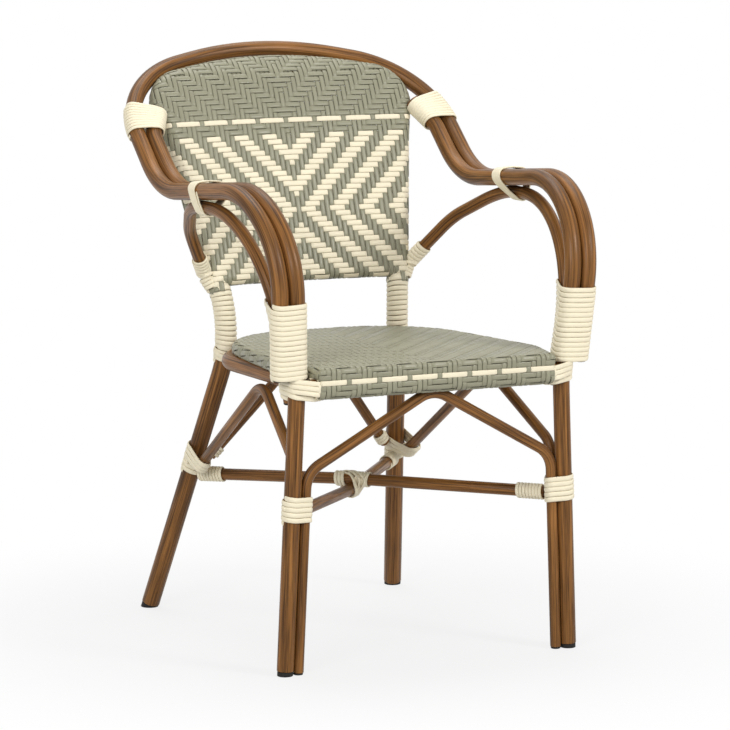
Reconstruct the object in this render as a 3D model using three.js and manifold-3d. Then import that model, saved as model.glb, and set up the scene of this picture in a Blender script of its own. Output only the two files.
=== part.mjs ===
// Bistro armchair: lashed aluminium tubes that look like cane, with a woven seat and back.
// Millimetres, +Z up. The front faces -Y, and left is the sitter's left, +X.
// Every tube is a bent pipe: straight runs between named corners, with a round bend at each.
import * as THREE from 'three';
import { mergeVertices } from 'three/addons/utils/BufferGeometryUtils.js';
import Module from 'manifold-3d';

const wasm = await Module();
wasm.setup();

// Clearances
const fitGap = 0.3;            // between two pieces that touch
const stopGap = 0.9;           // between a stretcher's end and the lashing it stops against
const lashGap = 0.35;          // between a lashing and the tube it is wound on
const sliver = 0.02;           // facets thinner than this are merged away after a cut

// Tube sizes
const frameDia = 25;           // front legs, arms and outer hoop
const rearDia = 28;            // rear legs and inner hoop
const lowerArmDia = 19;
const braceDia = 16;           // the four arches under the seat
const stretcherDia = 18;
const railDia = 16;            // hidden rail in the bottom of the back
const plugBoreDepth = 26.5;    // socket for a plug foot or an end cap
const tubeWall = 2;

// Front legs, with the knee where they turn up into the arms
const frontFootX = 233;
const frontFootY = -274;
const kneeX = 215.5;
const kneeY = -279;
const kneeZ = 413;
const kneeBend = 306;

// Arm pair: corners of the outer tube, and the inner one runs beside it
const armFrontX = 252.5;
const armFrontY = -303;
const armFrontZ = 615;
const armFrontBend = 122.5;
const armTopX = 264;
const armTopY = -206;
const armTopZ = 700.5;
const armTopBend = 145;
const armDipX = 266;
const armDipY = 96.5;
const armDipZ = 673;
const armDipBend = 144;
const armTubeEndZ = 436.5;     // lower end of the outer tube, inside the front wrap
const innerArmTurnY = 185.5;   // where the inner tube turns in towards the back
const innerArmTurnZ = 749.5;
const innerArmTurnBend = 46;
const innerArmEndX = 217.5;
const innerArmEndY = 222.5;
const innerArmEndZ = 782.5;

// Outer hoop over the back
const hoopSideX = 264;
const hoopSideY = 278.5;
const hoopSideZ = 828;
const hoopSideBend = 160;
const hoopTopY = 331.5;
const hoopTopZ = 878.5;
const hoopTopBend = 459;

// Rear legs and inner hoop
const rearFootX = 212.5;
const rearFootY = 281;
const waistX = 140;
const waistY = 117;
const waistZ = 448.5;
const waistBend = 183.5;
const backSideX = 192;
const backSideY = 220.5;
const backSideZ = 745.5;
const backSideBend = 204;
const shoulderX = 217.5;
const shoulderY = 257;
const shoulderZ = 816;
const shoulderBend = 51;
const crownY = 304;
const crownZ = 855;
const crownBend = 500;

// Lower arms
const lowerArmRootZ = 536.5;   // their lower rear end, beside the rear legs
const lowerArmRootOut = 17;
const lowerArmRearX = 222.5;
const lowerArmRearY = 91;
const lowerArmRearZ = 613;
const lowerArmRearBend = 112;
const lowerArmTopX = 262;
const lowerArmTopY = -5.5;
const lowerArmTopZ = 663;
const lowerArmTopBend = 158;
const lowerArmFrontX = 254.5;
const lowerArmFrontY = -262;
const lowerArmFrontZ = 665;
const lowerArmFrontBend = 180;
const lowerArmEndX = 216;
const lowerArmEndY = -256.5;
const lowerArmEndZ = 398;

// Seat
const seatTilt = 0.008;        // fall of the seat towards the rear, per mm
const ringZ = 419.5;           // axis of the ring under the seat, at its front end
const ringStand = 2;           // between the ring and the lashings of the front legs
const ringRearY = 116.5;
const ringRearBend = 104;
const frontBarY = -290.5;      // bar in the front band of the seat, ahead of the legs
const frontBarZ = 422;
const frontBarHalf = 198;
const seatFrontY = -309;
const seatFrontHalf = 190.5;
const seatFrontBend = 12;
const seatWideY = -212;        // where the seat is widest, behind the front legs
const seatWideHalf = 214;
const seatWideBend = 61;
const seatRearY = 124.5;
const seatRearHalf = 170.5;
const seatRearBend = 149;
const seatTopZ = 450.5;        // top of the seat at its front edge
const seatEdgeRound = 6.5;
const bandDepth = 45.5;        // woven front band, from the top of the seat down
const bandBack = 32.5;         // how far the band folds back under the bar
const bandRound = 11;

// Woven back
const backBottomZ = 511;
const weaveSkin = 2.6;         // woven sleeve over the tubes
const sheetThick = 4;
const sheetTuck = 3.1;         // how far the sheet's edge runs on past the middle of the tube
const backBow = 15.5;          // how far the middle of the back curves rearwards
const notchLength = 49;        // bare stretch of tube where a lower arm is lashed on
const notchExtra = 1;

// Arches under the seat
const archShoulderZ = 296;
const archShoulderBend = 41;
const frontArchBend = 43;
const frontArchY = -286.5;     // where its top lies against the front bar
const sideArchFootZ = 228.5;
const sideArchKneeZ = 309;
const sideArchKneeBend = 36.5;
const sideArchTopY = -98;
const sideArchBend = 56;
const sideArchRise = 6.5;
const sideArchRearZ = 246;
const sideArchStand = 8;       // gap from its capped end to the rear leg
const rearArchEndZ = 255;
const rearArchBend = 53;
const rearArchY = 132.5;       // where its top lies against the ring

// Stretchers
const stretcherFrontZ = 235.5;
const stretcherRearZ = 222.5;
const sleeveLength = 42;

// Feet and caps
const footHeight = 7;
const footLip = 0.8;           // a foot is this much narrower than its tube, all round
const archFootHeight = 3;
const capThick = 2.5;

// Lashings: flat cane strands
const strandThick = 2.4;
const strandRise = 7.5;        // from one turn to the next
const strandCrownShare = 0.56; // share of its width that is its flat top
const strandSpace = 0.6;
const bendSpace = 1.9;         // between the turns on a bent stretch
const lashSpan = 63;           // furthest that a bound tube may be from the one it is wound along
const ballSpace = 2;           // spacing of the slices that stand for a tube
const fineRise = 5.6;          // finer strand on the hoop, the arm ties and the crossing
const singleSteps = 8;         // straight steps in a turn round one tube
const bundleSteps = 8;         // and round a bundle of tubes
const pairSteps = 10;          // and round the arm pair
const frontWrapTopZ = 547.5;
const frontLashTopZ = 262;
const frontLashTurns = 5;
const cornerTurns = 3;
const rearLashTopZ = 267;
const rearLashTurns = 6;
const hoopWrapLowZ = 753;
const hoopWrapTurns = 7;
const armTieY = -50;
const armTieTurns = 3;
const lowerArmWrapZ = 546.5;
const lowerArmWrapTurns = 5;
const crossTurns = 3;
const crossBend = 112;
const crossSag = 1.2;          // what the bends take off the bows of the stretchers
const crossReach = 18.5;       // from the crossing to the first turn on each side

// Facets
const frameSides = 12;
const slimSides = 10;
const bendStep = THREE.MathUtils.degToRad(16);
const peakPasses = 12;         // rounds of settling the corner of an arch

const frameRadius = frameDia / 2;
const rearRadius = rearDia / 2;
const lowerArmRadius = lowerArmDia / 2;
const braceRadius = braceDia / 2;
const stretcherRadius = stretcherDia / 2;
const pairPitch = frameDia + fitGap + lashGap / 2;

const point = (x, y, z) => new THREE.Vector3(x, y, z);
const mirrorPoint = (p) => point(-p.x, p.y, p.z);

// A bent pipe's axis: straight runs, and a circular arc of the given radius at each corner.
// Its stations sit at the ends of the runs and along the bends, where the pipe needs its rings.
class BentAxis extends THREE.Curve {
  constructor(corners, bends, closed = false) {
    super();
    this.closed = closed;
    this.stations = [];
    const count = corners.length;
    const last = closed ? count : count - 1;
    if (!closed) this.stations.push({ p: corners[0].clone(), t: this.heading(corners[0], corners[1]) });
    for (let i = closed ? 0 : 1; i < last; i += 1) {
      this.addBend(corners[(i + count - 1) % count], corners[i], corners[(i + 1) % count], bends[closed ? i : i - 1]);
    }
    if (closed) this.stations.push({ p: this.stations[0].p.clone(), t: this.stations[0].t.clone() });
    else this.stations.push({ p: corners[last].clone(), t: this.heading(corners[last - 1], corners[last]) });
    this.lengths = [0];
    for (let i = 1; i < this.stations.length; i += 1) {
      this.lengths.push(this.lengths[i - 1] + this.stations[i].p.distanceTo(this.stations[i - 1].p));
    }
    this.length = this.lengths.at(-1);
  }

  heading(a, b) {
    return b.clone().sub(a).normalize();
  }

  addBend(before, corner, after, radius) {
    const inward = this.heading(before, corner);
    const outward = this.heading(corner, after);
    const turn = inward.angleTo(outward);
    const reach = radius * Math.tan(turn / 2);
    const start = corner.clone().addScaledVector(inward, -reach);
    const side = outward.clone().addScaledVector(inward, -outward.dot(inward)).normalize();
    const steps = Math.max(1, Math.ceil(turn / bendStep));
    for (let k = 0; k <= steps; k += 1) {
      const a = (turn * k) / steps;
      const p = start.clone().addScaledVector(inward, radius * Math.sin(a));
      p.addScaledVector(side, radius * (1 - Math.cos(a)));
      const t = inward.clone().multiplyScalar(Math.cos(a)).addScaledVector(side, Math.sin(a));
      this.stations.push({ p, t });
    }
  }

  get steps() {
    return this.stations.length - 1;
  }

  blend(u, key) {
    const at = THREE.MathUtils.clamp(u, 0, 1) * this.steps;
    const i = Math.min(Math.floor(at), this.steps - 1);
    return this.stations[i][key].clone().lerp(this.stations[i + 1][key], at - i);
  }

  getPoint(u, target = new THREE.Vector3()) {
    return target.copy(this.blend(u, 'p'));
  }

  getPointAt(u, target) {
    return this.getPoint(u, target);
  }

  getTangentAt(u, target = new THREE.Vector3()) {
    return target.copy(this.blend(u, 't').normalize());
  }

  // Place and heading at a length along the axis
  along(length) {
    const s = THREE.MathUtils.clamp(length, 0, this.length);
    let i = 0;
    while (i < this.steps - 1 && this.lengths[i + 1] < s) i += 1;
    const share = (s - this.lengths[i]) / (this.lengths[i + 1] - this.lengths[i]);
    const p = this.stations[i].p.clone().lerp(this.stations[i + 1].p, share);
    const t = this.stations[i].t.clone().lerp(this.stations[i + 1].t, share).normalize();
    return { p, t };
  }

  // Length at which the axis first reaches a value of one coordinate
  lengthAt(axis, value) {
    for (let i = 0; i < this.steps; i += 1) {
      const a = this.stations[i].p[axis] - value;
      const b = this.stations[i + 1].p[axis] - value;
      if (a * b <= 0 && a !== b) {
        return THREE.MathUtils.lerp(this.lengths[i], this.lengths[i + 1], a / (a - b));
      }
    }
    throw new Error(`the axis never reaches ${axis} = ${value}`);
  }

  at(axis, value) {
    return this.along(this.lengthAt(axis, value));
  }

  // The stretch between two lengths, as an axis of its own
  cut(from, to) {
    const inner = this.stations.filter((s, i) => this.lengths[i] > from + fitGap && this.lengths[i] < to - fitGap);
    const ends = [this.along(from), this.along(to)];
    const part = Object.create(BentAxis.prototype);
    Object.assign(part, new THREE.Curve(), { closed: false, stations: [ends[0], ...inner, ends[1]] });
    part.lengths = [0];
    for (let i = 1; i < part.stations.length; i += 1) {
      part.lengths.push(part.lengths[i - 1] + part.stations[i].p.distanceTo(part.stations[i - 1].p));
    }
    part.length = part.lengths.at(-1);
    return part;
  }

  // Evenly spaced centres, for the slices that lashings are wound on
  centres(spacing) {
    const n = Math.ceil(this.length / spacing);
    return Array.from({ length: n + 1 }, (_, k) => this.along((this.length * k) / n).p);
  }
}

// Meshes and solids
function pipe(axis, radius, sides) {
  if (axis.closed) return new THREE.TubeGeometry(axis, axis.steps, radius, sides, true);
  const disc = new THREE.Shape().absarc(0, 0, radius, 0, 2 * Math.PI, false);
  return new THREE.ExtrudeGeometry(disc, { steps: axis.steps, curveSegments: sides / 2, extrudePath: axis });
}

function solidOf(geometry) {
  const bare = geometry.clone();
  bare.deleteAttribute('normal');
  bare.deleteAttribute('uv');
  const merged = mergeVertices(bare, fitGap / 100);
  return new wasm.Manifold(new wasm.Mesh({
    numProp: 3,
    vertProperties: new Float32Array(merged.attributes.position.array),
    triVerts: new Uint32Array(merged.index.array),
  }));
}

// Back to a mesh; a void that a join has sealed in is filled
function geometryOf(solid) {
  const mesh = wasm.Manifold.union(solid.decompose().filter((s) => s.volume() > 0)).simplify(sliver).getMesh();
  const points = new Float32Array(mesh.numVert * 3);
  for (let i = 0; i < mesh.numVert; i += 1) {
    for (let k = 0; k < 3; k += 1) points[3 * i + k] = mesh.vertProperties[mesh.numProp * i + k];
  }
  const geometry = new THREE.BufferGeometry();
  geometry.setAttribute('position', new THREE.BufferAttribute(points, 3));
  geometry.setIndex(Array.from(mesh.triVerts));
  geometry.computeVertexNormals();
  return geometry;
}

const less = (geometry, ...tools) => geometryOf(tools.reduce((s, g) => s.subtract(solidOf(g)), solidOf(geometry)));
const joined = (first, ...rest) => geometryOf(rest.reduce((s, g) => s.add(solidOf(g)), solidOf(first)));

function mirrored(geometry) {
  const twin = mergeVertices(geometry.clone(), fitGap / 100);
  twin.scale(-1, 1, 1);
  const index = twin.index.array;
  for (let i = 0; i < index.length; i += 3) [index[i], index[i + 1]] = [index[i + 1], index[i]];
  twin.computeVertexNormals();
  return twin;
}

// A round bar between two points, or from a point along a heading
function bar(from, to, radius, sides) {
  const geometry = new THREE.CylinderGeometry(radius, radius, from.distanceTo(to), sides);
  const spin = new THREE.Quaternion().setFromUnitVectors(point(0, 1, 0), to.clone().sub(from).normalize());
  geometry.applyQuaternion(spin);
  geometry.translate((from.x + to.x) / 2, (from.y + to.y) / 2, (from.z + to.z) / 2);
  return geometry;
}

const shifted = (from, heading, length) => from.clone().addScaledVector(heading, length);

// Sockets bored into the ends of a tube, for plug feet and caps
function bored(geometry, ends, tubeRadius, sides) {
  const tools = ends.map(({ p, t }) => bar(shifted(p, t, tubeWall), shifted(p, t, -plugBoreDepth), tubeRadius - tubeWall, sides));
  return less(geometry, ...tools);
}

// An end plug: a disc outside the tube and a shank in its socket
function cap({ p, t }, tubeRadius, thick, sides) {
  const disc = bar(shifted(p, t, fitGap), shifted(p, t, fitGap + thick), tubeRadius, sides);
  const shank = bar(shifted(p, t, fitGap + thick / 2), shifted(p, t, -plugBoreDepth + tubeWall),
    tubeRadius - tubeWall - fitGap, sides);
  return joined(disc, shank);
}

// A plug foot: cut flat on the floor, under a leg that leans
function foot(end, tubeRadius, height, sides) {
  const lip = bar(shifted(end.p, end.t, fitGap), shifted(end.p, end.t, 3 * height), tubeRadius - footLip, sides);
  const shank = bar(shifted(end.p, end.t, fitGap + height / 2), shifted(end.p, end.t, -plugBoreDepth + tubeWall),
    tubeRadius - tubeWall - fitGap, sides);
  const span = 8 * tubeRadius;
  const floor = new THREE.BoxGeometry(span, span, span);
  floor.translate(end.p.x, end.p.y, -span / 2);
  return less(joined(lip, shank), floor);
}

// The lower end of a leg, raised so that its foot stands on the floor
function legEnd(axis, height) {
  const { t } = axis.along(0);
  const down = t.clone().negate();
  return { p: shifted(axis.along(0).p, t, height / t.z), t: down };
}

// Axes of the frame tubes, left side
const frontFoot = point(frontFootX, frontFootY, 0);
const knee = point(kneeX, kneeY, kneeZ);
const armShift = point(-pairPitch, 0, 0);
const armFront = point(armFrontX, armFrontY, armFrontZ);
const armTop = point(armTopX, armTopY, armTopZ);
const armDip = point(armDipX, armDipY, armDipZ);
const frontLegWhole = new BentAxis(
  [frontFoot, knee, armFront.clone().add(armShift), armTop.clone().add(armShift), armDip.clone().add(armShift),
    point(armDipX, innerArmTurnY, innerArmTurnZ).add(armShift), point(innerArmEndX, innerArmEndY, innerArmEndZ)],
  [kneeBend, armFrontBend, armTopBend, armDipBend, innerArmTurnBend],
);
const frontEnd = legEnd(frontLegWhole, footHeight);
const frontLegAxis = frontLegWhole.cut(footHeight / Math.abs(frontEnd.t.z), frontLegWhole.length);

const armTubeStart = frontLegWhole.at('z', armTubeEndZ).p.sub(armShift);
const hoopSide = point(hoopSideX, hoopSideY, hoopSideZ);
const hoopHalf = [armTubeStart, armFront, armTop, armDip, hoopSide];
const hoopBends = [armFrontBend, armTopBend, armDipBend, hoopSideBend];
const hoopAxis = new BentAxis(
  [...hoopHalf, point(0, hoopTopY, hoopTopZ), ...hoopHalf.map(mirrorPoint).reverse()],
  [...hoopBends, hoopTopBend, ...hoopBends.toReversed()],
);

const rearHalf = [point(rearFootX, rearFootY, 0), point(waistX, waistY, waistZ),
  point(backSideX, backSideY, backSideZ), point(shoulderX, shoulderY, shoulderZ)];
const rearBends = [waistBend, backSideBend, shoulderBend];
const rearWhole = new BentAxis(
  [...rearHalf, point(0, crownY, crownZ), ...rearHalf.map(mirrorPoint).reverse()],
  [...rearBends, crownBend, ...rearBends.toReversed()],
);
const rearEnd = legEnd(rearWhole, footHeight);
const rearTrim = footHeight / Math.abs(rearEnd.t.z);
const rearAxis = rearWhole.cut(rearTrim, rearWhole.length - rearTrim);

// How thick one layer of lashing is on a tube, with its clearances and the play of its straight steps
const lashDepth = (radius, steps) => (radius + lashGap) / Math.cos(Math.PI / steps) + strandThick + fitGap - radius;

// Lower arm: rooted beside the rear leg, and coped to fit it
const lowerArmRoot = rearWhole.at('z', lowerArmRootZ).p.add(point(lowerArmRootOut, 0, 0));
const lowerArmAxis = new BentAxis(
  [lowerArmRoot, point(lowerArmRearX, lowerArmRearY, lowerArmRearZ), point(lowerArmTopX, lowerArmTopY, lowerArmTopZ),
    point(lowerArmFrontX, lowerArmFrontY, lowerArmFrontZ), point(lowerArmEndX, lowerArmEndY, lowerArmEndZ)],
  [lowerArmRearBend, lowerArmTopBend, lowerArmFrontBend],
);

// Ring under the seat: inside the legs, clear of them by one layer of lashing
const ringHeight = (y) => ringZ - seatTilt * (y - frontBarY);
const legAtRing = frontLegWhole.at('z', ringZ).p;
const rearAtRing = rearWhole.at('z', ringHeight(waistY)).p;
const ringSideX = legAtRing.x - 2 * frameRadius - lashDepth(frameRadius, bundleSteps) - ringStand;
const ringToRear = rearRadius + frameRadius + lashDepth(rearRadius, singleSteps);
const ringCornerY = ringRearY - ringRearBend;
const ringCornerX = rearAtRing.x
  - Math.sqrt((ringRearBend + ringToRear) ** 2 - (rearAtRing.y - ringCornerY) ** 2);
const ringRearX = ringCornerX + ringRearBend;
const ringSlope = (ringSideX - ringRearX) / (ringCornerY - legAtRing.y);
const ringXAt = (y) => ringSideX - ringSlope * (y - legAtRing.y);
const ringPoint = (y) => point(ringXAt(y), y, ringHeight(y));
function ringFrom(y) {
  const half = [ringPoint(y), ringPoint(ringRearY)];
  return new BentAxis([...half, ...half.map(mirrorPoint).reverse()], [ringRearBend, ringRearBend]);
}
const ringAxis = ringFrom(frontBarY);
const frontBarEnd = point(frontBarHalf, frontBarY, frontBarZ);
const frontBar = (half, radius) => bar(point(half, frontBarY, frontBarZ), point(-half, frontBarY, frontBarZ), radius,
  frameSides);

// Arches under the seat: their tops lie against the ring or the bar, their ends against the legs
const topGap = frameRadius + fitGap + braceRadius;
const under = (z, y, atY) => z - Math.sqrt(topGap ** 2 - (y - atY) ** 2);

// Height of an arch's middle corner whose bend tops out at a given height
function peakCorner(run, base, top, bend) {
  let corner = top;
  for (let k = 0; k < peakPasses; k += 1) corner = top + bend * (Math.hypot(1, (corner - base) / run) - 1);
  return corner;
}
const besideLeg = frameRadius + fitGap + braceRadius;
const archFootTop = frontFoot.clone().add(point(-besideLeg, 0, 0));
const archShoulder = frontLegWhole.at('z', archShoulderZ).p.add(point(-besideLeg, 0, 0));
const frontArchTop = under(frontBarZ, frontArchY, frontBarY);
const frontArchPeak = point(0, frontArchY, peakCorner(archShoulder.x, archShoulder.z, frontArchTop, frontArchBend));
const frontArchWhole = new BentAxis(
  [archFootTop, archShoulder, frontArchPeak, mirrorPoint(archShoulder), mirrorPoint(archFootTop)],
  [archShoulderBend, frontArchBend, archShoulderBend],
);
const archEnd = legEnd(frontArchWhole, archFootHeight);
const archTrim = archFootHeight / Math.abs(archEnd.t.z);
const frontArchAxis = frontArchWhole.cut(archTrim, frontArchWhole.length - archTrim);

// A place beside a leg, square to its axis and on a given side of it
function beside(axis, z, distance, dx, dy) {
  const { p, t } = axis.at('z', z);
  const side = point(dx, dy, 0);
  return p.addScaledVector(side.addScaledVector(t, -side.dot(t)).normalize(), distance);
}
const sideArchFootShares = [-0.5, 1];
const sideArchRearShares = [0.1, -1];
const rearArchEndShares = [-1, -0.35];
const sideArchAxis = new BentAxis(
  [beside(frontLegWhole, sideArchFootZ, besideLeg, ...sideArchFootShares),
    beside(frontLegWhole, sideArchKneeZ, besideLeg, ...sideArchFootShares),
    ringPoint(sideArchTopY).add(point(0, 0, sideArchRise - topGap)),
    beside(rearWhole, sideArchRearZ, rearRadius + braceRadius + sideArchStand, ...sideArchRearShares)],
  [sideArchKneeBend, sideArchBend],
);
const rearArchEnd = beside(rearWhole, rearArchEndZ, rearRadius + fitGap + braceRadius, ...rearArchEndShares);
const rearArchTop = point(0, rearArchY, under(ringHeight(ringRearY), rearArchY, ringRearY));
const rearArchRun = rearArchTop.clone().sub(rearArchEnd).setX(0);
const rearArchPeak = rearArchEnd.clone().setX(0)
  .addScaledVector(rearArchRun.clone().normalize(), peakCorner(rearArchEnd.x, 0, rearArchRun.length(), rearArchBend));
const rearArchAxis = new BentAxis([rearArchEnd, rearArchPeak, mirrorPoint(rearArchEnd)], [rearArchBend]);

// Lashings: one unbroken strand wound round the tubes that it binds.
// A turn is a polygon of flat runs, each just clear of the furthest tube on its side.
let leastGap = Infinity;
function strand(path, steps, width) {
  const outline = [[-width / 2, -strandThick / 2], [width / 2, -strandThick / 2],
    [(strandCrownShare * width) / 2, strandThick / 2], [(-strandCrownShare * width) / 2, strandThick / 2]];
  const sides = outline.length;
  const points = path.flatMap(({ p, out, across }) => outline.map(([w, h]) => (
    p.clone().addScaledVector(across, w).addScaledVector(out, h))));
  for (let i = 0; i < path.length; i += 1) {
    for (let j = i + steps - 1; j <= i + steps + 1 && j < path.length; j += 1) {
      for (let a = 0; a < sides; a += 1) {
        for (let b = 0; b < sides; b += 1) {
          leastGap = Math.min(leastGap, points[i * sides + a].distanceTo(points[j * sides + b]));
        }
      }
    }
  }
  const index = [];
  for (let i = 0; i + 1 < path.length; i += 1) {
    for (let a = 0; a < sides; a += 1) {
      const b = (a + 1) % sides;
      const [p, q, r, s] = [i * sides + a, i * sides + b, (i + 1) * sides + b, (i + 1) * sides + a];
      index.push(p, q, r, p, r, s);
    }
  }
  const end = (path.length - 1) * sides;
  index.push(0, 3, 2, 0, 2, 1, end, end + 1, end + 2, end, end + 2, end + 3);
  const geometry = new THREE.BufferGeometry().setFromPoints(points);
  geometry.setIndex(index);
  return solidOf(geometry).volume() < 0 ? turnedOut(geometry) : geometry;
}

function turnedOut(geometry) {
  const index = geometry.index.array;
  for (let i = 0; i < index.length; i += 3) [index[i], index[i + 1]] = [index[i + 1], index[i]];
  return geometry;
}

const evenTurns = (from, turns, rise, steps) => Array.from({ length: turns * steps + 1 }, (_, k) => (
  { angle: (2 * Math.PI * k) / steps, s: from + (rise * k) / steps }));

function lashing(axis, plan, bound, rise, steps, space = strandSpace) {
  const balls = bound.flatMap(({ axis: a, radius }) => a.centres(ballSpace).map((c) => ({ c, radius })));
  const slab = (rise - space) / 2;
  const half = Math.PI / steps;
  const runs = plan.map(({ angle, s }) => {
    const { p: o, t } = axis.along(s);
    const e1 = point(1, 0, 0).addScaledVector(t, -t.x).normalize();
    const e2 = t.clone().cross(e1);
    const facing = (a) => e1.clone().multiplyScalar(Math.cos(a)).addScaledVector(e2, Math.sin(a));
    const near = balls.map(({ c, radius }) => ({ d: c.clone().sub(o), radius })).filter(({ d }) => d.length() < lashSpan);
    const reach = (a) => Math.max(...near.map(({ d, radius }) => {
      const off = Math.max(0, Math.abs(d.dot(t)) - slab);
      return off < radius ? d.dot(facing(a)) + Math.sqrt(radius ** 2 - off ** 2) : -Infinity;
    }));
    const [before, after] = [angle - half, angle + half].map((a) => reach(a) + lashGap + strandThick / 2);
    const forward = (before + after) / (2 * Math.cos(half));
    const aside = (after - before) / (2 * Math.sin(half));
    const p = o.clone().addScaledVector(facing(angle), forward).addScaledVector(facing(angle + Math.PI / 2), aside);
    return { p, out: facing(angle).divideScalar(Math.cos(half)), across: t };
  });
  return strand(runs, steps, rise - space);
}

// Lashings that other pieces keep clear of
const legTube = { axis: frontLegWhole, radius: frameRadius };
const armTube = { axis: hoopAxis, radius: frameRadius };
const rearTube = { axis: rearWhole, radius: rearRadius };
const lowerTube = { axis: lowerArmAxis, radius: lowerArmRadius };
const sideArchTube = { axis: sideArchAxis, radius: braceRadius };
const frontArchTube = { axis: frontArchWhole, radius: braceRadius };
const rearArchTube = { axis: rearArchAxis, radius: braceRadius };
const frontLashFrom = frontLegWhole.lengthAt('z', frontLashTopZ) - frontLashTurns * strandRise;
const frontLashing = lashing(frontLegWhole, evenTurns(frontLashFrom, frontLashTurns, strandRise, bundleSteps),
  [legTube, frontArchTube, sideArchTube], strandRise, bundleSteps);
const rearLashFrom = rearWhole.lengthAt('z', rearLashTopZ) - rearLashTurns * strandRise;
const rearLashing = lashing(rearWhole, evenTurns(rearLashFrom, rearLashTurns, strandRise, bundleSteps),
  [rearTube, sideArchTube, rearArchTube], strandRise, bundleSteps);

// Stretchers: each runs from one front leg to the rear leg across, and they bow past each other.
// An end stops against the lashing of its leg.
function stopBefore(lash, from, heading) {
  const points = lash.attributes.position;
  let reach = 0;
  for (let i = 0; i < points.count; i += 1) {
    const d = new THREE.Vector3().fromBufferAttribute(points, i).sub(from);
    const along = d.dot(heading);
    const aside = Math.sqrt(Math.max(0, d.lengthSq() - along ** 2));
    if (aside < stretcherRadius + strandRise) reach = Math.max(reach, along);
  }
  return shifted(from, heading, reach + stopGap);
}
const frontNode = frontLegWhole.at('z', stretcherFrontZ).p;
const rearNode = mirrorPoint(rearWhole.at('z', stretcherRearZ).p);
const toRear = rearNode.clone().sub(frontNode).normalize();
const frontStop = stopBefore(frontLashing, frontNode, toRear);
const rearStop = mirrorPoint(stopBefore(rearLashing, mirrorPoint(rearNode), mirrorPoint(toRear.clone().negate())));
const crossing = frontStop.clone().lerp(rearStop, frontStop.x / (frontStop.x - rearStop.x));
const crossLift = (stretcherDia + fitGap) / 2;
const stretcherAxis = (lift) => new BentAxis([frontStop, crossing.clone().add(point(0, 0, lift)), rearStop], [crossBend]);
const overAxis = stretcherAxis(crossLift + crossSag);
const underAxis = stretcherAxis(-crossLift - crossSag);

// Woven sleeve and sheet of the back
const sleeveFrom = rearWhole.lengthAt('z', backBottomZ);
const sleeveAxis = rearWhole.cut(sleeveFrom, rearWhole.length - sleeveFrom);
const boreAxis = rearWhole.cut(sleeveFrom - rearDia, rearWhole.length - sleeveFrom + rearDia);
const sleeveRadius = rearRadius + fitGap + weaveSkin;
const backLean = Math.atan2(backSideY - waistY, backSideZ - waistZ);
const backNormal = point(0, -Math.cos(backLean), Math.sin(backLean));
const railZ = backBottomZ + sleeveRadius;
const railEnd = shifted(rearWhole.at('z', railZ).p, backNormal, rearRadius - railDia / 2);

// A point of the woven sheet: across is -1 to 1, rise is 0 at the bottom rail and 1 at the crown
const sheetTop = rearWhole.length / 2 - sleeveRadius;
const sheetLow = rearWhole.lengthAt('z', railZ);
function sheetPoint(across, rise, depth) {
  const edge = rearWhole.along(THREE.MathUtils.lerp(sheetLow, sheetTop, rise));
  const side = shifted(edge.p, edge.t.clone().cross(backNormal).normalize(), sheetTuck);
  const bow = backBow * (1 - across * across) * Math.cos((Math.PI / 2) * rise ** 2);
  const p = point(side.x * across, side.y + bow, side.z);
  return p.addScaledVector(backNormal, depth);
}
const sheetColumns = 6;
const sheetRows = 10;
function wovenSheet() {
  const front = rearRadius + fitGap + weaveSkin / 2;
  const depths = [front, front - sheetThick];
  const points = [];
  for (const depth of depths) {
    for (let r = 0; r <= sheetRows; r += 1) {
      for (let c = 0; c <= sheetColumns; c += 1) {
        points.push(sheetPoint((2 * c) / sheetColumns - 1, r / sheetRows, depth));
      }
    }
  }
  const wide = sheetColumns + 1;
  const layer = wide * (sheetRows + 1);
  const at = (d, r, c) => d * layer + r * wide + c;
  const index = [];
  const quad = (a, b, c, d) => index.push(a, b, c, a, c, d);
  for (let r = 0; r < sheetRows; r += 1) {
    for (let c = 0; c < sheetColumns; c += 1) {
      quad(at(0, r, c), at(0, r, c + 1), at(0, r + 1, c + 1), at(0, r + 1, c));
      quad(at(1, r, c), at(1, r + 1, c), at(1, r + 1, c + 1), at(1, r, c + 1));
    }
    quad(at(0, r, 0), at(0, r + 1, 0), at(1, r + 1, 0), at(1, r, 0));
    quad(at(0, r, sheetColumns), at(1, r, sheetColumns), at(1, r + 1, sheetColumns), at(0, r + 1, sheetColumns));
  }
  for (let c = 0; c < sheetColumns; c += 1) {
    quad(at(0, 0, c), at(1, 0, c), at(1, 0, c + 1), at(0, 0, c + 1));
    quad(at(0, sheetRows, c), at(0, sheetRows, c + 1), at(1, sheetRows, c + 1), at(1, sheetRows, c));
  }
  const geometry = new THREE.BufferGeometry().setFromPoints(points);
  geometry.setIndex(index);
  return geometry;
}

// Outer reach of a winding on a rear leg, at the corners of its turns and of a pipe that clears it
const windingReach = (rearRadius + lashGap + strandThick) / Math.cos(Math.PI / singleSteps);
const windingClear = (windingReach + fitGap) / Math.cos(Math.PI / frameSides);
const wrapClear = windingClear - rearRadius + frameRadius + fitGap;

// The hidden bottom rail bows with the sheet
const railBow = backBow * 2;
const railBend = (railEnd.x ** 2 + (railBow / 2) ** 2) / railBow;
const railMid = point(0, railEnd.y + railBow, railEnd.z);
const railBore = new BentAxis([railEnd, railMid, mirrorPoint(railEnd)], [railBend]);
const railInset = windingReach + railDia / 8;
const railAxis = railBore.cut(railInset, railBore.length - railInset);

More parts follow.
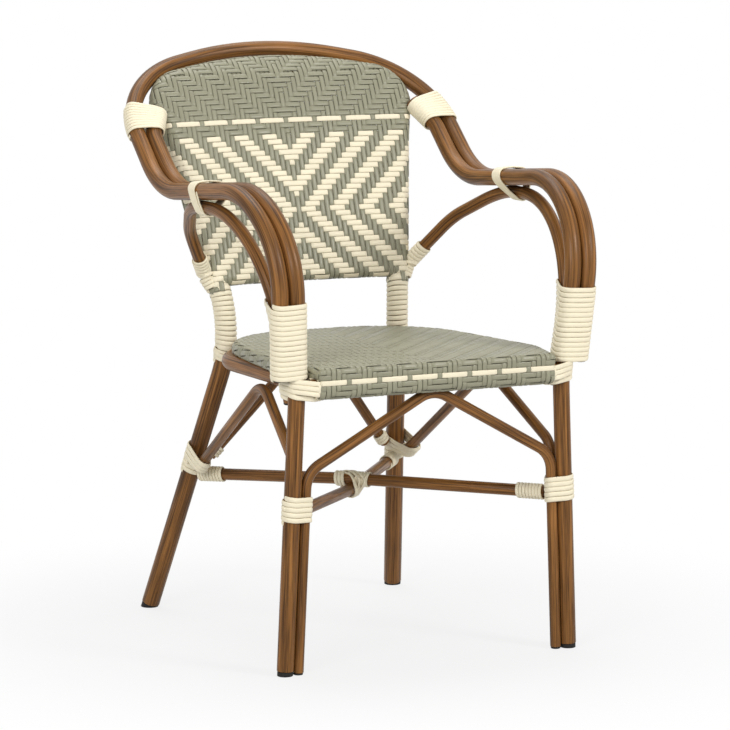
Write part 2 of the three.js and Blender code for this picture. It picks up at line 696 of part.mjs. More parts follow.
function wovenBack() {
  const notchLow = rearWhole.lengthAt('z', lowerArmWrapZ) - notchLength / 2;
  const notch = rearWhole.cut(notchLow, notchLow + notchLength);
  const notchTool = pipe(notch, windingClear + notchExtra, frameSides);
  const bottom = pipe(railBore, railDia / 2 + fitGap + weaveSkin, slimSides);
  return less(
    joined(pipe(sleeveAxis, sleeveRadius, frameSides), bottom, wovenSheet()),
    pipe(boreAxis, rearRadius + fitGap, frameSides),
    pipe(railBore, railDia / 2 + fitGap, slimSides),
    notchTool, mirrored(notchTool),
  );
}

// Woven seat: a slab on the ring, with a band that folds down over its front
function wovenSeat() {
  const half = [point(seatFrontHalf, seatFrontY, 0), point(seatWideHalf, seatWideY, 0), point(seatRearHalf, seatRearY, 0)];
  const outline = new BentAxis([...half, ...half.map(mirrorPoint).reverse()],
    [seatFrontBend, seatWideBend, seatRearBend, seatRearBend, seatWideBend, seatFrontBend], true);
  const shape = new THREE.Shape(outline.stations.slice(0, -1).map(({ p }) => new THREE.Vector2(p.x, p.y)));
  const slabLow = ringZ + frameRadius + fitGap;
  const slab = new THREE.ExtrudeGeometry(shape, {
    depth: seatTopZ - slabLow - 2 * seatEdgeRound, bevelThickness: seatEdgeRound, bevelSize: seatEdgeRound,
    bevelOffset: -seatEdgeRound, bevelSegments: 2,
  });
  slab.translate(0, 0, slabLow + seatEdgeRound);
  slab.applyMatrix4(new THREE.Matrix4().makeShear(0, 0, 0, -seatTilt, 0, 0));
  slab.translate(0, 0, seatTilt * frontBarY);
  const low = seatTopZ - bandDepth;
  const high = seatTopZ - seatEdgeRound;
  const front = seatFrontY + fitGap;
  const back = seatFrontY + bandBack;
  const side = new THREE.Shape();
  side.moveTo(front, high);
  side.lineTo(front, low + bandRound);
  side.absarc(front + bandRound, low + bandRound, bandRound, Math.PI, 1.5 * Math.PI, false);
  side.lineTo(back, low);
  side.lineTo(back, high);
  const bandHalf = seatFrontHalf - seatFrontBend / 2;
  const band = new THREE.ExtrudeGeometry(side, { depth: 2 * bandHalf, bevelEnabled: false, curveSegments: 4 });
  band.applyMatrix4(new THREE.Matrix4().makeBasis(point(0, 1, 0), point(0, 0, 1), point(1, 0, 0)));
  band.translate(-bandHalf, 0, 0);
  const clearOf = (axis, radius) => pipe(axis.cut(axis.lengthAt('z', low - rearDia), axis.lengthAt('z', seatTopZ + rearDia)),
    radius, frameSides);
  const rearClear = clearOf(rearWhole, windingClear);
  const frontClear = clearOf(frontLegWhole, wrapClear);
  return less(joined(slab, band), pipe(ringFrom(frontBarY - frameDia), frameRadius + fitGap, frameSides),
    frontBar(seatFrontHalf + frameDia, frameRadius + fitGap), pipe(frontArchAxis, braceRadius + fitGap, slimSides),
    rearClear, mirrored(rearClear), frontClear, mirrored(frontClear));
}

// Materials
const finish = (colour, roughness) => new THREE.MeshStandardMaterial({ color: colour, roughness, metalness: 0 });
const cane = finish(0x946837, 0.4);
const darkCane = finish(0x6d4c2f, 0.45);
const ivory = finish(0xf7eedb, 0.55);
const greyWeave = finish(0x9e9d87, 0.5);
const rubber = finish(0x2e2b29, 0.8);

const chair = new THREE.Group();
function add(name, geometry, material) {
  const mesh = new THREE.Mesh(geometry, material);
  mesh.name = name;
  chair.add(mesh);
}
function addPair(name, geometry, material) {
  add(`${name}_left`, geometry, material);
  add(`${name}_right`, mirrored(geometry), material);
}

// Frame tubes
const hoopStart = { p: hoopAxis.along(0).p, t: hoopAxis.along(0).t.clone().negate() };
const hoopFinish = { p: mirrorPoint(hoopStart.p), t: mirrorPoint(hoopStart.t) };
const lowerArmEnd = lowerArmAxis.along(lowerArmAxis.length);
const rearFinish = { p: mirrorPoint(rearEnd.p), t: mirrorPoint(rearEnd.t) };
const archFinish = { p: mirrorPoint(archEnd.p), t: mirrorPoint(archEnd.t) };
add('hoop_arm_tube', bored(pipe(hoopAxis, frameRadius, frameSides), [hoopStart, hoopFinish], frameRadius, slimSides), cane);
const hoopCope = pipe(rearWhole.cut(rearWhole.lengthAt('z', backSideZ - rearDia), rearWhole.length / 2),
  sleeveRadius + fitGap, frameSides);
const legTubeBody = less(pipe(frontLegAxis, frameRadius, frameSides), hoopCope);
addPair('front_leg_tube', bored(legTubeBody, [frontEnd], frameRadius, slimSides), cane);
add('rear_leg_hoop', bored(pipe(rearAxis, rearRadius, frameSides), [rearEnd, rearFinish], rearRadius, slimSides), darkCane);
const copeTool = pipe(rearWhole.cut(sleeveFrom - rearDia, sleeveFrom + 3 * rearDia), rearRadius + fitGap, frameSides);
const lowerArm = less(pipe(lowerArmAxis, lowerArmRadius, slimSides), copeTool);
addPair('lower_arm', bored(lowerArm, [lowerArmEnd], lowerArmRadius, slimSides), cane);
add('seat_ring', less(pipe(ringAxis, frameRadius, frameSides), frontBar(2 * frontBarHalf, frameRadius + fitGap)), darkCane);
add('seat_front_bar', frontBar(frontBarHalf, frameRadius), darkCane);
add('back_rail', pipe(railAxis, railDia / 2, slimSides), darkCane);
add('front_arch', bored(pipe(frontArchAxis, braceRadius, slimSides), [archEnd, archFinish], braceRadius, slimSides), darkCane);
const sideArchEnd = sideArchAxis.along(sideArchAxis.length);
addPair('side_arch', bored(pipe(sideArchAxis, braceRadius, slimSides), [sideArchEnd], braceRadius, slimSides), darkCane);
add('rear_arch', pipe(rearArchAxis, braceRadius, slimSides), darkCane);
add('stretcher_over', pipe(overAxis, stretcherRadius, slimSides), darkCane);
add('stretcher_under', mirrored(pipe(underAxis, stretcherRadius, slimSides)), darkCane);

// Woven parts
add('seat_weave', wovenSeat(), greyWeave);
add('back_weave', wovenBack(), greyWeave);

// Feet and caps
addPair('front_foot', foot(frontEnd, frameRadius, footHeight, slimSides), rubber);
addPair('rear_foot', foot(rearEnd, rearRadius, footHeight, slimSides), rubber);
addPair('arch_foot', foot(archEnd, braceRadius, archFootHeight, slimSides), rubber);
addPair('arm_tube_cap', cap(hoopStart, frameRadius, capThick, slimSides), rubber);
addPair('lower_arm_cap', cap(lowerArmEnd, lowerArmRadius, capThick, slimSides), rubber);
addPair('side_arch_cap', cap(sideArchEnd, braceRadius, capThick, slimSides), rubber);

// Lashings

function addLashing(name, axis, from, bound, turns, rise, steps, space) {
  addPair(name, lashing(axis, evenTurns(from, turns, rise, steps), bound, rise, steps, space), ivory);
}
const wrapFrom = strandRise / 2;
const frontWrapTurns = Math.floor((hoopAxis.lengthAt('z', frontWrapTopZ) - wrapFrom) / strandRise);
addLashing('front_wrap', hoopAxis, wrapFrom, [legTube, armTube, lowerTube], frontWrapTurns, strandRise, bundleSteps);
const cornerFrom = frontLegWhole.lengthAt('z', armTubeEndZ - capThick - strandRise) - cornerTurns * strandRise;
addLashing('corner_wrap', frontLegWhole, cornerFrom, [legTube, lowerTube], cornerTurns, strandRise, bundleSteps, bendSpace);
addPair('front_lashing', frontLashing, ivory);
addPair('rear_lashing', rearLashing, ivory);
const seatWrapLow = rearWhole.lengthAt('z', ringZ - frameRadius);
const seatWrapTurns = Math.round(frameDia / strandRise);
addLashing('seat_rear_wrap', rearWhole, seatWrapLow, [rearTube], seatWrapTurns, strandRise, singleSteps, bendSpace);
const windingLow = seatWrapLow + (seatWrapTurns + 1) * strandRise;
const windingTurns = Math.floor((sleeveFrom - windingLow) / strandRise - 1 / 2);
addLashing('rear_leg_winding', rearWhole, windingLow, [rearTube], windingTurns, strandRise, singleSteps, bendSpace);
const hoopWrapFrom = hoopAxis.lengthAt('z', hoopWrapLowZ);
addLashing('hoop_wrap', hoopAxis, hoopWrapFrom, [armTube, legTube], hoopWrapTurns, fineRise, pairSteps, bendSpace);
const lowerWrapFrom = rearWhole.lengthAt('z', lowerArmWrapZ) - (lowerArmWrapTurns / 2) * strandRise;
addLashing('lower_arm_wrap', rearWhole, lowerWrapFrom, [rearTube, lowerTube], lowerArmWrapTurns, strandRise, bundleSteps,
  bendSpace);
const tieFrom = hoopAxis.lengthAt('y', armTieY) - (armTieTurns * fineRise) / 2;
addLashing('arm_tie', hoopAxis, tieFrom, [armTube, legTube, lowerTube], armTieTurns, fineRise, pairSteps);

// Sleeves at the four ends of the stretchers
const sleeveTurns = Math.round(sleeveLength / strandRise);
for (const [name, axis] of [['over', overAxis], ['under', underAxis]]) {
  const place = name === 'under' ? mirrored : (g) => g;
  const tube = { axis, radius: stretcherRadius };
  const sleeve = (from) => place(lashing(axis, evenTurns(from, sleeveTurns, strandRise, singleSteps), [tube], strandRise,
    singleSteps));
  add(`sleeve_${name}_front`, sleeve(strandRise / 2), ivory);
  add(`sleeve_${name}_rear`, sleeve(axis.length - (sleeveTurns + 1 / 2) * strandRise), ivory);
}

// Crossing: turns round the upper stretcher on both sides of it, and one pass over the top between them
const crossAt = overAxis.lengthAt('x', crossing.x);
const crossHalf = (from) => evenTurns(from, crossTurns, fineRise, singleSteps)
  .map(({ angle, s }) => ({ angle: angle - Math.PI / 2, s }));
const crossPlan = [...crossHalf(crossAt - crossReach - crossTurns * fineRise), ...crossHalf(crossAt + crossReach)];
const crossTube = { axis: overAxis, radius: stretcherRadius };
add('cross_lashing', lashing(overAxis, crossPlan, [crossTube], fineRise, singleSteps), ivory);

console.log(`least gap of a lashing to itself: ${leastGap.toFixed(2)} mm`);

// The middle of the chair's box stands over the origin
const middle = new THREE.Box3().setFromObject(chair).getCenter(point(0, 0, 0));
for (const mesh of chair.children) mesh.geometry.translate(0, -middle.y, 0);

export default chair;
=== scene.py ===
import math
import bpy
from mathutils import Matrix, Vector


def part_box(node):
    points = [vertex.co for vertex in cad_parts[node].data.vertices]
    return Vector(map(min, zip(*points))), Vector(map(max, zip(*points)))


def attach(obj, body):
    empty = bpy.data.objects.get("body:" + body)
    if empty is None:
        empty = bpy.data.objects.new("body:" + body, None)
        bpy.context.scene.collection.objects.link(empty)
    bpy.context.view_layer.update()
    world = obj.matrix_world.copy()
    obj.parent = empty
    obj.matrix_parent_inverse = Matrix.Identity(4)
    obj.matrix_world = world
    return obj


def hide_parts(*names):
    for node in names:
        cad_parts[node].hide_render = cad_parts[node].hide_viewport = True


bl_info = {
    "name": "Woven Bistro Armchair",
    "version": (1, 0, 0),
    "blender": (4, 5, 0),
    "location": "View3D > Sidebar > Chair",
    "description": "Builds a bistro armchair of bent tube with a woven seat and back",
    "category": "Add Mesh",
}

import bpy
import numpy as np
from bpy.props import FloatProperty, FloatVectorProperty, IntProperty, PointerProperty
from mathutils import Vector

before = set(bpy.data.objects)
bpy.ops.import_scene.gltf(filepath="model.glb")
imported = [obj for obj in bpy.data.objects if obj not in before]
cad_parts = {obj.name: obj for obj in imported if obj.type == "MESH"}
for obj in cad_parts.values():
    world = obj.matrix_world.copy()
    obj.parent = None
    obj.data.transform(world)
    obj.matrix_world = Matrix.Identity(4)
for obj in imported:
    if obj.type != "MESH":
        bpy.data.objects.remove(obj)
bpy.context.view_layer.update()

# Sizes of the tubes, in metres
FRAME_RADIUS = 0.0125
REAR_RADIUS = 0.014
LOWER_ARM_RADIUS = 0.0095
BRACE_RADIUS = 0.008
STRETCHER_RADIUS = 0.009
RAIL_RADIUS = 0.008
TUBE_RIM = 0.0012
FIT_GAP = 0.0003
LASH_GAP = 0.00035
PAIR_PITCH = 2 * FRAME_RADIUS + FIT_GAP + LASH_GAP / 2

# Corners of the tubes' centrelines on the left side, before the chair is centred, and their bends
FRONT_FOOT = (0.233, -0.274, 0.0)
KNEE = (0.2155, -0.279, 0.413)
ARM_FRONT = (0.2525, -0.303, 0.615)
ARM_TOP = (0.264, -0.206, 0.7005)
ARM_DIP = (0.266, 0.0965, 0.673)
INNER_ARM_TURN = (0.266, 0.1855, 0.7495)
INNER_ARM_END = (0.2175, 0.2225, 0.7825)
KNEE_BEND, INNER_TURN_BEND = 0.306, 0.046
ARM_FRONT_BEND, ARM_TOP_BEND, ARM_DIP_BEND = 0.1225, 0.145, 0.144
ARM_TUBE_END_Z = 0.4365
HOOP_SIDE = (0.264, 0.2785, 0.828)
HOOP_TOP = (0.0, 0.3315, 0.8785)
HOOP_SIDE_BEND, HOOP_TOP_BEND = 0.160, 0.459
REAR_FOOT = (0.2125, 0.281, 0.0)
WAIST = (0.140, 0.117, 0.4485)
BACK_SIDE = (0.192, 0.2205, 0.7455)
SHOULDER = (0.2185, 0.2575, 0.8165)
CROWN = (0.0, 0.304, 0.8515)
WAIST_BEND, BACK_SIDE_BEND, SHOULDER_BEND, CROWN_BEND = 0.1835, 0.204, 0.050, 0.500
LOWER_ARM_ROOT_Z = 0.5365
LOWER_ARM_ROOT_OUT = 0.017
LOWER_ARM_CORNERS = ((0.2225, 0.091, 0.613), (0.262, -0.0055, 0.663), (0.2545, -0.262, 0.665),
                     (0.216, -0.2565, 0.398))
LOWER_ARM_BENDS = (0.112, 0.158, 0.180)

# Seat
SEAT_TILT = 0.008
RING_Z = 0.4195
RING_STAND = 0.002
RING_REAR_Y = 0.1165
RING_REAR_BEND = 0.104
RING_INSET = 0.010
FRONT_BAR_Y = -0.2905
FRONT_BAR_Z = 0.422
FRONT_BAR_HALF = 0.198
SEAT_LEAD = 0.06
SEAT_FRONT_Y = -0.309
SEAT_FRONT_HALF = 0.1905
SEAT_FRONT_BEND = 0.012
SEAT_WIDE_Y = -0.212
SEAT_WIDE_HALF = 0.214
SEAT_WIDE_BEND = 0.061
SEAT_REAR_Y = 0.1245
SEAT_REAR_HALF = 0.1705
SEAT_REAR_BEND = 0.149
SEAT_TOP_Z = 0.4505
SEAT_FRONT_ROUND = 0.0065
SEAT_EDGE_RADIUS = 0.0088
SEAT_SKIN = 0.0012
SEAT_TUCK = 0.006
POST_CLEAR = 0.0042
BAND_DEPTH = 0.0455
BAND_BACK = 0.0325
BAND_ROUND = 0.011
BAND_END_RADIUS = 0.006
BAND_TUCK_SHARE = 1.0
DASH_DROP = 0.0227

# Woven back
BACK_BOTTOM_Z = 0.511
BACK_END_DROP = 0.004
BACK_CENTRE_Z = 0.6214
BACK_BOW = 0.0155
BOW_FADE = 0.14
SLEEVE_RADIUS = 0.0169
WEAVE_SKIN = 0.0016
WEAVE_RADIUS = REAR_RADIUS + WEAVE_SKIN
RAIL_WRAP_RADIUS = RAIL_RADIUS + WEAVE_SKIN
WRAP_ANGLE = math.radians(285)

# Arches and stretchers; a side is a direction seen from above
ARCH_SHOULDER_Z = 0.296
ARCH_SHOULDER_BEND = 0.041
FRONT_ARCH_BEND = 0.043
FRONT_ARCH_Y = -0.2865
SIDE_ARCH_FOOT_Z = 0.2285
SIDE_ARCH_KNEE_Z = 0.309
SIDE_ARCH_KNEE_BEND = 0.0365
SIDE_ARCH_TOP_Y = -0.098
SIDE_ARCH_BEND = 0.056
SIDE_ARCH_RISE = 0.0065
SIDE_ARCH_REAR_Z = 0.246
SIDE_ARCH_STAND = 0.008
SIDE_ARCH_FRONT_SIDE = (-0.5, 1)
SIDE_ARCH_REAR_SIDE = (0.1, -1)
REAR_ARCH_END_Z = 0.255
REAR_ARCH_BEND = 0.053
REAR_ARCH_Y = 0.1325
REAR_ARCH_SIDE = (-1, -0.35)
STRETCHER_FRONT_Z = 0.2355
STRETCHER_REAR_Z = 0.2225
STRETCHER_FRONT_STOP = 0.0325
STRETCHER_REAR_STOP = 0.0165
CROSS_BEND = 0.112
OVER_LIFT = 0.0045
UNDER_LIFT = 0.0115

# Feet and caps. A foot's upper rings: share of its radius, and distance under the tube's end.
# Its lower rings: how much narrower they are, and height over the floor.
# A cap's rings: share of its radius, and distance past the tube's end.
FOOT_HEIGHT = 0.007
ARCH_FOOT_HEIGHT = 0.003
FOOT_LIP = 0.0008
FOOT_CHAMFER = 0.0012
FOOT_UPPER = ((0.9, 0.004), (0.97, FIT_GAP), (1.0, 0.0012))
FOOT_LOWER = ((0.0, FOOT_CHAMFER), (0.0003, 0.0004), (0.0012, 0.0))
CAP_THICK = 0.0025
CAP_RINGS = ((0.9, -0.003), (1.0, FIT_GAP), (1.0, 0.6 * CAP_THICK), (0.93, 0.9 * CAP_THICK),
             (0.8, CAP_THICK + FIT_GAP), (0.45, CAP_THICK + FIT_GAP + 0.0002))

# Weave. A range is its first and last column or row, counted from the middle or from the stripe.
WEAVE_PITCH = 0.00811
ROW_PITCH = 0.00836
WARP_WIDTH_SHARE = 0.98
ROW_WIDTH_SHARE = 0.995
WEAVE_THICK = 0.0019
WEAVE_HALF = 0.0011
TWILL = 6
FLOAT = 3
SLOPE_SPEED = 1.7
STRAND_STEP = 1 / 3
SHORTEST = 6
BACK_COLUMNS, BACK_ROWS = (-34, 34), (-38, 21)
BACK_IVORY_ROWS = (-14, 13)
BACK_STRIPE_ROW = -17
BACK_SEED = 7
BACK_SAMPLES = 700
BACK_SOFTENED = 41
SEAT_COLUMNS, SEAT_ROWS = (-32, 32), (-7, 61)
SEAT_STRIPE_ROW = 0
SEAT_SEED = 11
SEAT_SAMPLES = 900
FOLD_SAMPLES = 12
FOLD_PROBE = 0.0005
TONES = (0.2, 0.8)

# Lashing strands: rise from one turn to the next, thickness, sway from an even helix
STRAND_RISE = 0.0075
FINE_RISE = 0.0056
TIE_RISE = 0.0043
SLEEVE_RISE = 0.0052
ROOT_RISE = 0.0066
STRAND_THICK = 0.0026
TUCKED_THICK = 0.0013
TUCKED_LIFT = -0.0003
TUCKED_TURNS = 2
LAID_OVER = 0.001
SWAY = 0.00025
SWAY_SLOW, SWAY_FAST, SWAY_START = 0.37, 0.5, 90
SUNK_SHARE = 0.18
LASH_SPAN = 0.063
LASH_SIDES = 8
AXIS_HALF = 0.03

# Lashings
FRONT_WRAP_TOP_Z = 0.5448
FRONT_WRAP_TURNS = 15
CORNER_TOP_Z = 0.4355
CORNER_TILT = math.radians(6)
CORNER_TURNS = 4
CORNER_LEAN = 0.0025
CORNER_STUB = 0.012
STUB_START = 0.002
STUB_TURNS = 2
HOOP_WRAP_LOW_Z = 0.751
HOOP_WRAP_TURNS = 10
COVER_LENGTH = 0.014
COVER_RADIUS = FRAME_RADIUS - 0.002
ARM_TIE_Y = -0.050
ARM_TIE_TURNS = 6
ARM_TIE_LEAN = 0.006
LOWER_WRAP_START = 0.002
LOWER_WRAP_LENGTH = 0.041
LOWER_WRAP_Z = 0.516
LOWER_WRAP_OUT = 0.0095
LOWER_TAIL_RADIUS = FRAME_RADIUS - 0.003
RING_BITE = 0.004
BRIDGE_TURNS = 1.3
BRIDGE_PHASE = 0.6
BRIDGE_LEAN = 0.004
WINDING_REACH = 0.004
FRONT_LASH_TOP_Z = 0.262
FRONT_LASH_TURNS = 5
REAR_LASH_TOP_Z = 0.267
REAR_LASH_DROP = 6
REAR_LASH_TURNS = 3
ARCH_LASH_TURNS = 3.4
ARCH_LASH_LIFT = 0.0006
ARCH_END_START = 0.004
ARCH_END_TURNS = 3
SIDE_END_DROP = 2.2
SIDE_END_TURNS = 2
SIDE_END_LIFT = 0.0004
SLEEVE_TURNS = 8
CROSS_TURNS = 4
CROSS_REACH = 0.0085
CROSS_LEAN = 0.0025
CROSS_OVER_TURNS = 3
CROSS_OVER_LIFT = 0.0008
CROSS_OVER_LEAN = 0.004

# Noise of the materials: stretch of the lay along, across and outwards
BROAD_STREAKS = (5.0, 210.0, 210.0)
FINE_STREAKS = (14.0, 620.0, 620.0)
DARK_LINES = (4.0, 900.0, 900.0)
SLOW_TONES = (9.0, 30.0, 30.0)
STRAND_LINES = (18.0, 1500.0, 300.0)
STRAND_PATCHES = (60.0, 120.0, 60.0)

# Camera, fitted to the photograph
CAMERA_TARGET = (0.0, -0.0653, 0.41326)
CAMERA_DISTANCE = 6.29196
CAMERA_AZIMUTH = -25.75
CAMERA_ELEVATION = 8.12
CAMERA_LENS = 206.0
SENSOR_WIDTH = 36.0

# Stage. A lamp: its name, place, what it points at, the side of its square and its watts.
WHITE = (1, 1, 1, 1)
WORLD_LIT = 0.50
FLOOR_HALF = 9.0
FLOOR_GREY = (0.6, 0.6, 0.6, 1)
FLOOR_ROUGHNESS = 0.9
LAMPS = (
    ("key", (1.75, -3.2, 2.5), (0, 0, 0.5), 0.9, 68),
    ("fill", (-2.9, -2.6, 2.0), (0, 0, 0.45), 1.4, 60),
    ("top", (0.2, 0.9, 3.3), (0, 0, 0.5), 1.8, 40),
)

# Fineness of the meshes
ARC_STEP = math.radians(2.5)
TUBE_SIDES = 32
RIM_STEPS = 4
WIND_STEPS = 40
BALL_STEP = 0.0015
NEAR_STEP = 10
EPSILON = 1e-6


def unit(v):
    """Each row divided by its length."""
    return v / np.linalg.norm(v, axis=-1, keepdims=True)


def dot(a, b):
    """Sum of the products of each pair of rows, as a column."""
    return (a * b).sum(-1, keepdims=True)


def row_y():
    """The CAD is centred along Y: the front bar's box says by how much."""
    low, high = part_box("seat_front_bar")
    return (low.y + high.y) / 2 - FRONT_BAR_Y


SHIFT_Y = row_y()


def at(p):
    """A point of the drawing, in the chair's centred frame."""
    return np.array(p, float) + (0.0, SHIFT_Y, 0.0)


def mirror(points):
    """The same points on the chair's other side: X changes its sign."""
    return points * (-1.0, 1.0, 1.0)


def symmetric(half, *middle):
    """Corners of one side, those in the middle, and the side's mirror images in reverse."""
    return [*half, *middle, *[mirror(p) for p in reversed(half)]]


class Route:
    """A centreline as dense points with their headings, and the length to each."""

    def __init__(self, points, headings):
        self.points = points
        self.headings = unit(headings)
        steps = np.linalg.norm(np.diff(points, axis=0), axis=1)
        self.lengths = np.concatenate(([0.0], np.cumsum(steps)))
        self.length = self.lengths[-1]

    @classmethod
    def bent(cls, corners, bends):
        """Straight runs through the corners, each corner rounded by an arc of its bend radius. The
        arc starts the radius times the tangent of half the turn before the corner."""
        corners = np.array(corners, float)
        points, headings = [corners[:1]], [unit(corners[1:2] - corners[:1])]
        for before, corner, after, bend in zip(corners, corners[1:], corners[2:], bends):
            inward, outward = unit(corner - before), unit(after - corner)
            turn = math.acos(max(-1.0, min(1.0, float(inward @ outward))))
            side = unit(outward - (outward @ inward) * inward)
            angle = np.linspace(0.0, turn, max(3, math.ceil(turn / ARC_STEP) + 1))[:, None]
            start = corner - inward * bend * math.tan(turn / 2)
            points.append(start + bend * (np.sin(angle) * inward + (1 - np.cos(angle)) * side))
            headings.append(np.cos(angle) * inward + np.sin(angle) * side)
        points.append(corners[-1:])
        headings.append(unit(corners[-1:] - corners[-2:-1]))
        return cls(np.vstack(points), np.vstack(headings))

    def along(self, s):
        """Places and headings at lengths along the route, between the two nearest points."""
        p = np.stack([np.interp(s, self.lengths, c) for c in self.points.T], -1)
        t = np.stack([np.interp(s, self.lengths, c) for c in self.headings.T], -1)
        return p, unit(t)

    def length_at(self, axis, value):
        """Length at which one coordinate first reaches a value."""
        d = self.points[:, axis] - value
        i = np.flatnonzero(d[:-1] * d[1:] <= 0)[0]
        return self.lengths[i] + (self.lengths[i + 1] - self.lengths[i]) * d[i] / (d[i] - d[i + 1])

    def at(self, axis, value):
        """Place and heading where one coordinate first reaches a value."""
        p, t = self.along(np.array([self.length_at(axis, value)]))
        return p[0], t[0]

    def cut(self, low, high):
        """The stretch between two lengths."""
        inner = self.lengths[(self.lengths > low + EPSILON) & (self.lengths < high - EPSILON)]
        return Route(*self.along(np.concatenate(([low], inner, [high]))))

    def mirrored(self):
        """The same route on the other side."""
        return Route(mirror(self.points), mirror(self.headings))


# Centrelines of the left side and of what crosses the middle
X_AXIS = np.array((1.0, 0.0, 0.0))
UPWARDS = np.array((0.0, 0.0, 1.0))
ARM_SHIFT = np.array((-PAIR_PITCH, 0.0, 0.0))
front_leg = Route.bent(
    [at(FRONT_FOOT), at(KNEE), at(ARM_FRONT) + ARM_SHIFT, at(ARM_TOP) + ARM_SHIFT,
     at(ARM_DIP) + ARM_SHIFT, at(INNER_ARM_TURN) + ARM_SHIFT, at(INNER_ARM_END)],
    [KNEE_BEND, ARM_FRONT_BEND, ARM_TOP_BEND, ARM_DIP_BEND, INNER_TURN_BEND],
)
hoop_half = [front_leg.at(2, ARM_TUBE_END_Z)[0] - ARM_SHIFT, at(ARM_FRONT), at(ARM_TOP),
             at(ARM_DIP), at(HOOP_SIDE)]
hoop_bends = [ARM_FRONT_BEND, ARM_TOP_BEND, ARM_DIP_BEND, HOOP_SIDE_BEND]
hoop = Route.bent(
    symmetric(hoop_half, at(HOOP_TOP)),
    [*hoop_bends, HOOP_TOP_BEND, *reversed(hoop_bends)],
)
rear_half = [at(REAR_FOOT), at(WAIST), at(BACK_SIDE), at(SHOULDER)]
rear_bends = [WAIST_BEND, BACK_SIDE_BEND, SHOULDER_BEND]
rear = Route.bent(
    symmetric(rear_half, at(CROWN)),
    [*rear_bends, CROWN_BEND, *reversed(rear_bends)],
)
lower_arm_root = rear.at(2, LOWER_ARM_ROOT_Z)[0] + (LOWER_ARM_ROOT_OUT, 0, 0)
lower_arm = Route.bent([lower_arm_root, *[at(c) for c in LOWER_ARM_CORNERS]], LOWER_ARM_BENDS)


def lash_depth(radius):
    """How thick one layer of lashing is on a tube: the strand, its clearances and the play of a
    turn in straight steps, which is the radius over the cosine of half a step."""
    play = (radius + LASH_GAP) / math.cos(math.pi / LASH_SIDES)
    return play + STRAND_THICK + FIT_GAP - radius


def ring_height(y):
    """Height of the seat ring's axis: it falls evenly towards the rear."""
    return RING_Z - SEAT_TILT * (y - FRONT_BAR_Y)


def ring_route():
    """The ring clears the lashed legs: its sides lean in, and its rear corners round the rear legs.
    A side is a straight line from the front leg that touches the rear corner's circle."""
    leg = front_leg.at(2, RING_Z)[0]
    post = rear.at(2, ring_height(WAIST[1]))[0] - (0, SHIFT_Y, 0)
    leg_y = leg[1] - SHIFT_Y
    side_x = leg[0] - 2 * FRAME_RADIUS - lash_depth(FRAME_RADIUS) - RING_STAND
    away = REAR_RADIUS + FRAME_RADIUS + lash_depth(REAR_RADIUS)
    corner_y = RING_REAR_Y - RING_REAR_BEND
    reach = math.sqrt((RING_REAR_BEND + away) ** 2 - (post[1] - corner_y) ** 2)
    corner_x = post[0] - reach
    slope = (side_x - corner_x - RING_REAR_BEND) / (corner_y - leg_y)

    def side(y):
        return at((side_x - slope * (y - leg_y), y, ring_height(y)))

    half = [side(FRONT_BAR_Y), side(RING_REAR_Y) - (RING_INSET, 0, 0)]
    return Route.bent(symmetric(half), [RING_REAR_BEND] * 2), side


ring, ring_side = ring_route()


def beside(route, z, distance, direction):
    """A place beside a leg, square to its centreline and in a direction seen from above."""
    p, t = route.at(2, z)
    side = np.array((*direction, 0.0))
    return p + unit(side - (side @ t) * t) * distance


def peak_corner(run, base, top, bend):
    """Height of a middle corner whose arc tops out at a given height: the top plus what the bend
    cuts off, found by repeating."""
    corner = top
    for _ in range(12):
        corner = top + bend * (math.hypot(1, (corner - base) / run) - 1)
    return corner


def under(z, y, at_y):
    """Height of a brace's axis where it touches a frame tube from below, a step aside."""
    return z - math.sqrt((FRAME_RADIUS + FIT_GAP + BRACE_RADIUS) ** 2 - (y - at_y) ** 2)


def front_arch_route():
    """Up along both front legs, then over to a peak under the front bar."""
    away = np.array((-(FRAME_RADIUS + FIT_GAP + BRACE_RADIUS), 0, 0))
    shoulder = front_leg.at(2, ARCH_SHOULDER_Z)[0] + away
    top = under(FRONT_BAR_Z, FRONT_ARCH_Y, FRONT_BAR_Y)
    height = peak_corner(shoulder[0], shoulder[2], top, FRONT_ARCH_BEND)
    return Route.bent(symmetric([at(FRONT_FOOT) + away, shoulder], at((0, FRONT_ARCH_Y, height))),
                      [ARCH_SHOULDER_BEND, FRONT_ARCH_BEND, ARCH_SHOULDER_BEND])


def side_arch_route():
    """Up along the front leg, over to a peak under the ring, and down to beside the rear leg."""
    away = FRAME_RADIUS + FIT_GAP + BRACE_RADIUS
    rear_away = REAR_RADIUS + BRACE_RADIUS + SIDE_ARCH_STAND
    return Route.bent(
        [beside(front_leg, SIDE_ARCH_FOOT_Z, away, SIDE_ARCH_FRONT_SIDE),
         beside(front_leg, SIDE_ARCH_KNEE_Z, away, SIDE_ARCH_FRONT_SIDE),
         ring_side(SIDE_ARCH_TOP_Y) + (0, 0, SIDE_ARCH_RISE - away),
         beside(rear, SIDE_ARCH_REAR_Z, rear_away, SIDE_ARCH_REAR_SIDE)],
        [SIDE_ARCH_KNEE_BEND, SIDE_ARCH_BEND])


def rear_arch_route():
    """From one rear leg to the other, with a peak under the rear of the ring."""
    end = beside(rear, REAR_ARCH_END_Z, REAR_RADIUS + FIT_GAP + BRACE_RADIUS, REAR_ARCH_SIDE)
    top = at((0, REAR_ARCH_Y, under(ring_height(RING_REAR_Y), REAR_ARCH_Y, RING_REAR_Y)))
    run = (top - end) * (0, 1, 1)
    length = np.linalg.norm(run)
    peak = end * (0, 1, 1) + unit(run) * peak_corner(end[0], 0.0, length, REAR_ARCH_BEND)
    return Route.bent(symmetric([end], peak), [REAR_ARCH_BEND])


front_arch = front_arch_route()
side_arch = side_arch_route()
rear_arch = rear_arch_route()


